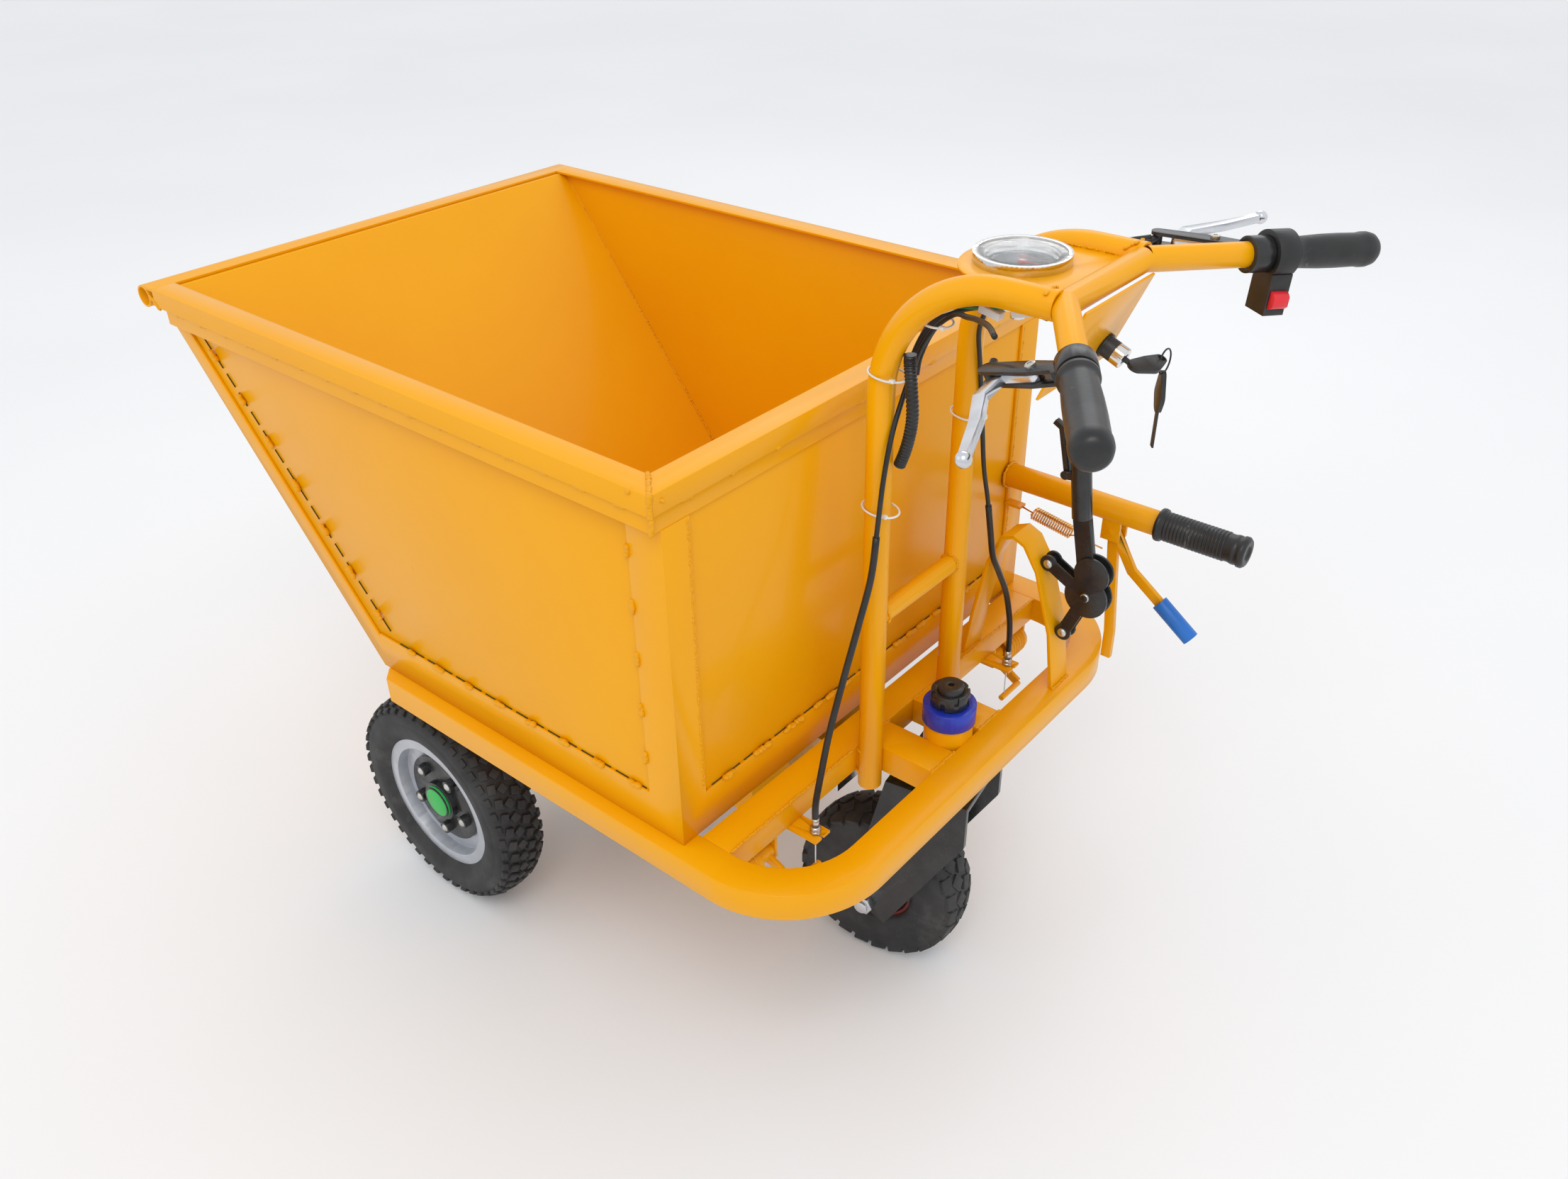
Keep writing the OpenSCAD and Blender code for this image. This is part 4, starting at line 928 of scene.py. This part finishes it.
class OBJECT_OT_wheelbarrow_springs(bpy.types.Operator):
    """Wind the latch spring and the torsion springs of the brake relays"""

    bl_idname = "object.wheelbarrow_springs"
    bl_label = "Springs"

    def execute(self, context):
        tree = coil_tree(MATS["spring_wire"])
        a, b = at(-19, TIP_Y, 596), at(-158, TIP_Y, 573)
        along = (b - a).normalized()
        coil = self.coil(tree, "coil", 17, 9.3, 66, 1.35)
        coil.data.transform(self.aim(a + along * 0.024, along))
        start, end = a + along * 0.024, a + along * 0.09
        hook = tube("hook", [a, start + Vector((0, 0.004, 0.002)), start + Vector((0, 0.009, 0))], 1.35, 8)
        tail = tube("tail", [end + Vector((0, 0.009, 0)), end + along * 0.006 + Vector((0, 0.003, 0)), b],
                    1.35, 8)
        spring = join("latch_coil_spring", [coil, hook, tail])
        finish_piece(spring, MATS["spring_wire"], "hopper", ["latch_spring"])
        yellow = coil_tree(MATS["yellow_paint"])
        for sign, side in ((1, "left"), (-1, "right")):
            made = self.coil(yellow, "relay_spring_" + side, 6, 22.6, 44, 2.2)
            made.data.transform(self.aim(at(RELAY_X, sign * 299, RELAY_Z), Vector((0, sign, 0))))
            finish_piece(made, None, "chassis")
        return {"FINISHED"}

    def coil(self, tree, name, turns, radius, length, wire):
        seed = mesh_object(name, [(0, 0, 0), (0.001, 0, 0), (0, 0.001, 0)], [(0, 1, 2)])
        return tree.run(seed, Turns=float(turns), Radius=radius * MM, Length=length * MM, Wire=wire * MM)

    def aim(self, origin, direction):
        m = direction.to_track_quat("Z", "Y").to_matrix().to_4x4()
        m.translation = origin
        return m


class OBJECT_OT_wheelbarrow_gauge(bpy.types.Operator):
    """Build the gauge's inner ring, dial and graduation marks"""

    bl_idname = "object.wheelbarrow_gauge"
    bl_label = "Gauge"

    def execute(self, context):
        lo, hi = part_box("gauge_case")
        centre = Vector(((lo[0] + hi[0]) / 2, 0, hi[2]))
        slope = [(47.2, -2.6), (46.8, -3.2), (38, -11.5), (38, -12.5), (40, -13.4)]
        ring = turned("gauge_inner_ring", slope, centre, (0, 0, 1), 96)
        finish_piece(ring, MATS["dial_white"], "chassis")
        dial = turned("gauge_dial", [(0.05, -12.4), (38.4, -12.4), (38.4, -13.6)], centre, (0, 0, 1), 96)
        finish_piece(dial, MATS["dial_black"], "chassis")
        marks = []
        for k in range(41):
            a = math.radians(-120 + 6 * k)
            size = (6, 1.1, 0.3) if k % 5 == 0 else (3, 0.6, 0.3)
            spot = Matrix.Rotation(a, 4, "Z") @ Matrix.Translation((0.033, 0, -0.0122))
            marks.append(block("mark", size, Matrix.Translation(centre) @ spot, 0.1))
        finish_piece(join("gauge_marks", marks), MATS["dial_white"], "chassis")
        return {"FINISHED"}


class OBJECT_OT_wheelbarrow_fittings(bpy.types.Operator):
    """Build the rivets, the lever bolts and the lock's face"""

    bl_idname = "object.wheelbarrow_fittings"
    bl_label = "Fittings"

    def execute(self, context):
        zinc = []
        for x, z in ((-154.4, 622.8), (-187, 524), (-214, 592)):
            for s in (-1, 1):
                spot = at(x, ARCH_Y + s * 9, z)
                zinc.append(turned("rivet", [(6.5, 0), (6.5, 2), (4.6, 3.6), (0.1, 4)], spot, (0, s, 0), 18))
        finish_piece(join("ratchet_rivets", zinc), MATS["zinc"], "chassis")
        for joint in FRAME["joints"]:
            if joint["name"] in ("left_brake_lever", "right_brake_lever"):
                axis = Vector(joint["axis"])
                axis = axis if axis.z > 0 else -axis
                spot = Vector(joint["pos_m"])
                socket = [(5.6, 9), (5.6, 12), (4.2, 13), (2.4, 13), (2.2, 11.6), (0.1, 11.6)]
                head = turned("lever_bolt_" + joint["child"], socket, spot, axis, 24)
                finish_piece(head, MATS["zinc"], "chassis")
        key = next(j for j in FRAME["joints"] if j["name"] == "key_turn")
        out = -Vector(key["axis"])
        bezel = [(12.2, 16), (12.3, 27.2), (11.2, 28), (6.6, 28), (6.2, 26.8)]
        face = turned("lock_face", bezel, Vector(key["pos_m"]), out, 40)
        finish_piece(face, MATS["chrome"], "chassis")
        return {"FINISHED"}


class OBJECT_OT_wheelbarrow_stage(bpy.types.Operator):
    """Set the pale floor, the studio lights and the camera"""

    bl_idname = "object.wheelbarrow_stage"
    bl_label = "Stage"

    def execute(self, context):
        scene = context.scene
        reach = 30
        corners = [(-reach, -reach, 0), (reach, -reach, 0), (reach, reach, 0), (-reach, reach, 0)]
        floor = mesh_object("studio_floor", corners, [(0, 1, 2, 3)])
        floor.data.materials.append(MATS["floor"])
        world = bpy.data.worlds.new("studio")
        world.use_nodes = True
        background = world.node_tree.nodes["Background"]
        background.inputs["Color"].default_value = (0.95, 0.97, 1.0, 1)
        background.inputs["Strength"].default_value = 0.96
        scene.world = world
        self.light("key", (-1.6, 2.0, 3.6), 1.6, 34, (1, 0.98, 0.95))
        self.light("fill", (2.2, 3.0, 2.6), 2.4, 6, (0.95, 0.98, 1))
        self.light("back", (1.0, -2.8, 3.2), 2.2, 18, (1, 1, 1))
        camera = bpy.data.cameras.new("camera")
        camera.sensor_width = 36
        camera.lens = 29.95
        camera.clip_start = 0.05
        camera.clip_end = 60
        holder = bpy.data.objects.new("camera", camera)
        scene.collection.objects.link(holder)
        holder.matrix_world = self.viewpoint(at(-843.6, 1197.1, 1557.1), -0.8732, 0.5736, -0.0153)
        scene.camera = holder
        scene.view_settings.view_transform = "Standard"
        return {"FINISHED"}

    def light(self, name, spot, size, power, color):
        lamp = bpy.data.lights.new(name, "AREA")
        lamp.size = size
        lamp.energy = power
        lamp.color = color
        holder = bpy.data.objects.new(name, lamp)
        bpy.context.scene.collection.objects.link(holder)
        holder.location = spot
        aim = Vector((0, 0, 0.5)) - Vector(spot)
        holder.rotation_euler = aim.to_track_quat("-Z", "Y").to_euler()

    def viewpoint(self, spot, yaw, dip, roll):
        ahead = Vector((math.cos(yaw) * math.cos(dip), math.sin(yaw) * math.cos(dip), -math.sin(dip)))
        right = Vector((math.sin(yaw), -math.cos(yaw), 0))
        up = right.cross(ahead)
        right, up = (math.cos(roll) * right + math.sin(roll) * up,
                     math.cos(roll) * up - math.sin(roll) * right)
        m = Matrix((right, up, -ahead)).transposed().to_4x4()
        m.translation = spot
        return m


STEPS = ["finishes", "stage", "conduit", "cables", "welds", "front_wheels", "rear_wheel", "grips", "springs",
         "gauge", "fittings"]


class VIEW3D_PT_wheelbarrow(bpy.types.Panel):
    """Sizes, colours and the steps that build the finish"""

    bl_label = "Power wheelbarrow"
    bl_idname = "VIEW3D_PT_wheelbarrow"
    bl_space_type = "VIEW_3D"
    bl_region_type = "UI"
    bl_category = "Wheelbarrow"

    def draw(self, context):
        look = context.scene.wheelbarrow_look
        for name in ("paint", "edge", "weld_size", "tread_count", "rib_count"):
            self.layout.prop(look, name)
        for step in STEPS:
            self.layout.operator("object.wheelbarrow_" + step)


CLASSES = (
    WheelbarrowLook,
    OBJECT_OT_wheelbarrow_finishes,
    OBJECT_OT_wheelbarrow_conduit,
    OBJECT_OT_wheelbarrow_cables,
    OBJECT_OT_wheelbarrow_welds,
    OBJECT_OT_wheelbarrow_front_wheels,
    OBJECT_OT_wheelbarrow_rear_wheel,
    OBJECT_OT_wheelbarrow_grips,
    OBJECT_OT_wheelbarrow_springs,
    OBJECT_OT_wheelbarrow_gauge,
    OBJECT_OT_wheelbarrow_fittings,
    OBJECT_OT_wheelbarrow_stage,
    VIEW3D_PT_wheelbarrow,
)


def register():
    for cls in CLASSES:
        bpy.utils.register_class(cls)
    bpy.types.Scene.wheelbarrow_look = PointerProperty(type=WheelbarrowLook)


def unregister():
    del bpy.types.Scene.wheelbarrow_look
    for cls in reversed(CLASSES):
        bpy.utils.unregister_class(cls)


def main():
    register()
    for step in STEPS:
        getattr(bpy.ops.object, "wheelbarrow_" + step)()


if __name__ == "__main__":
    main()
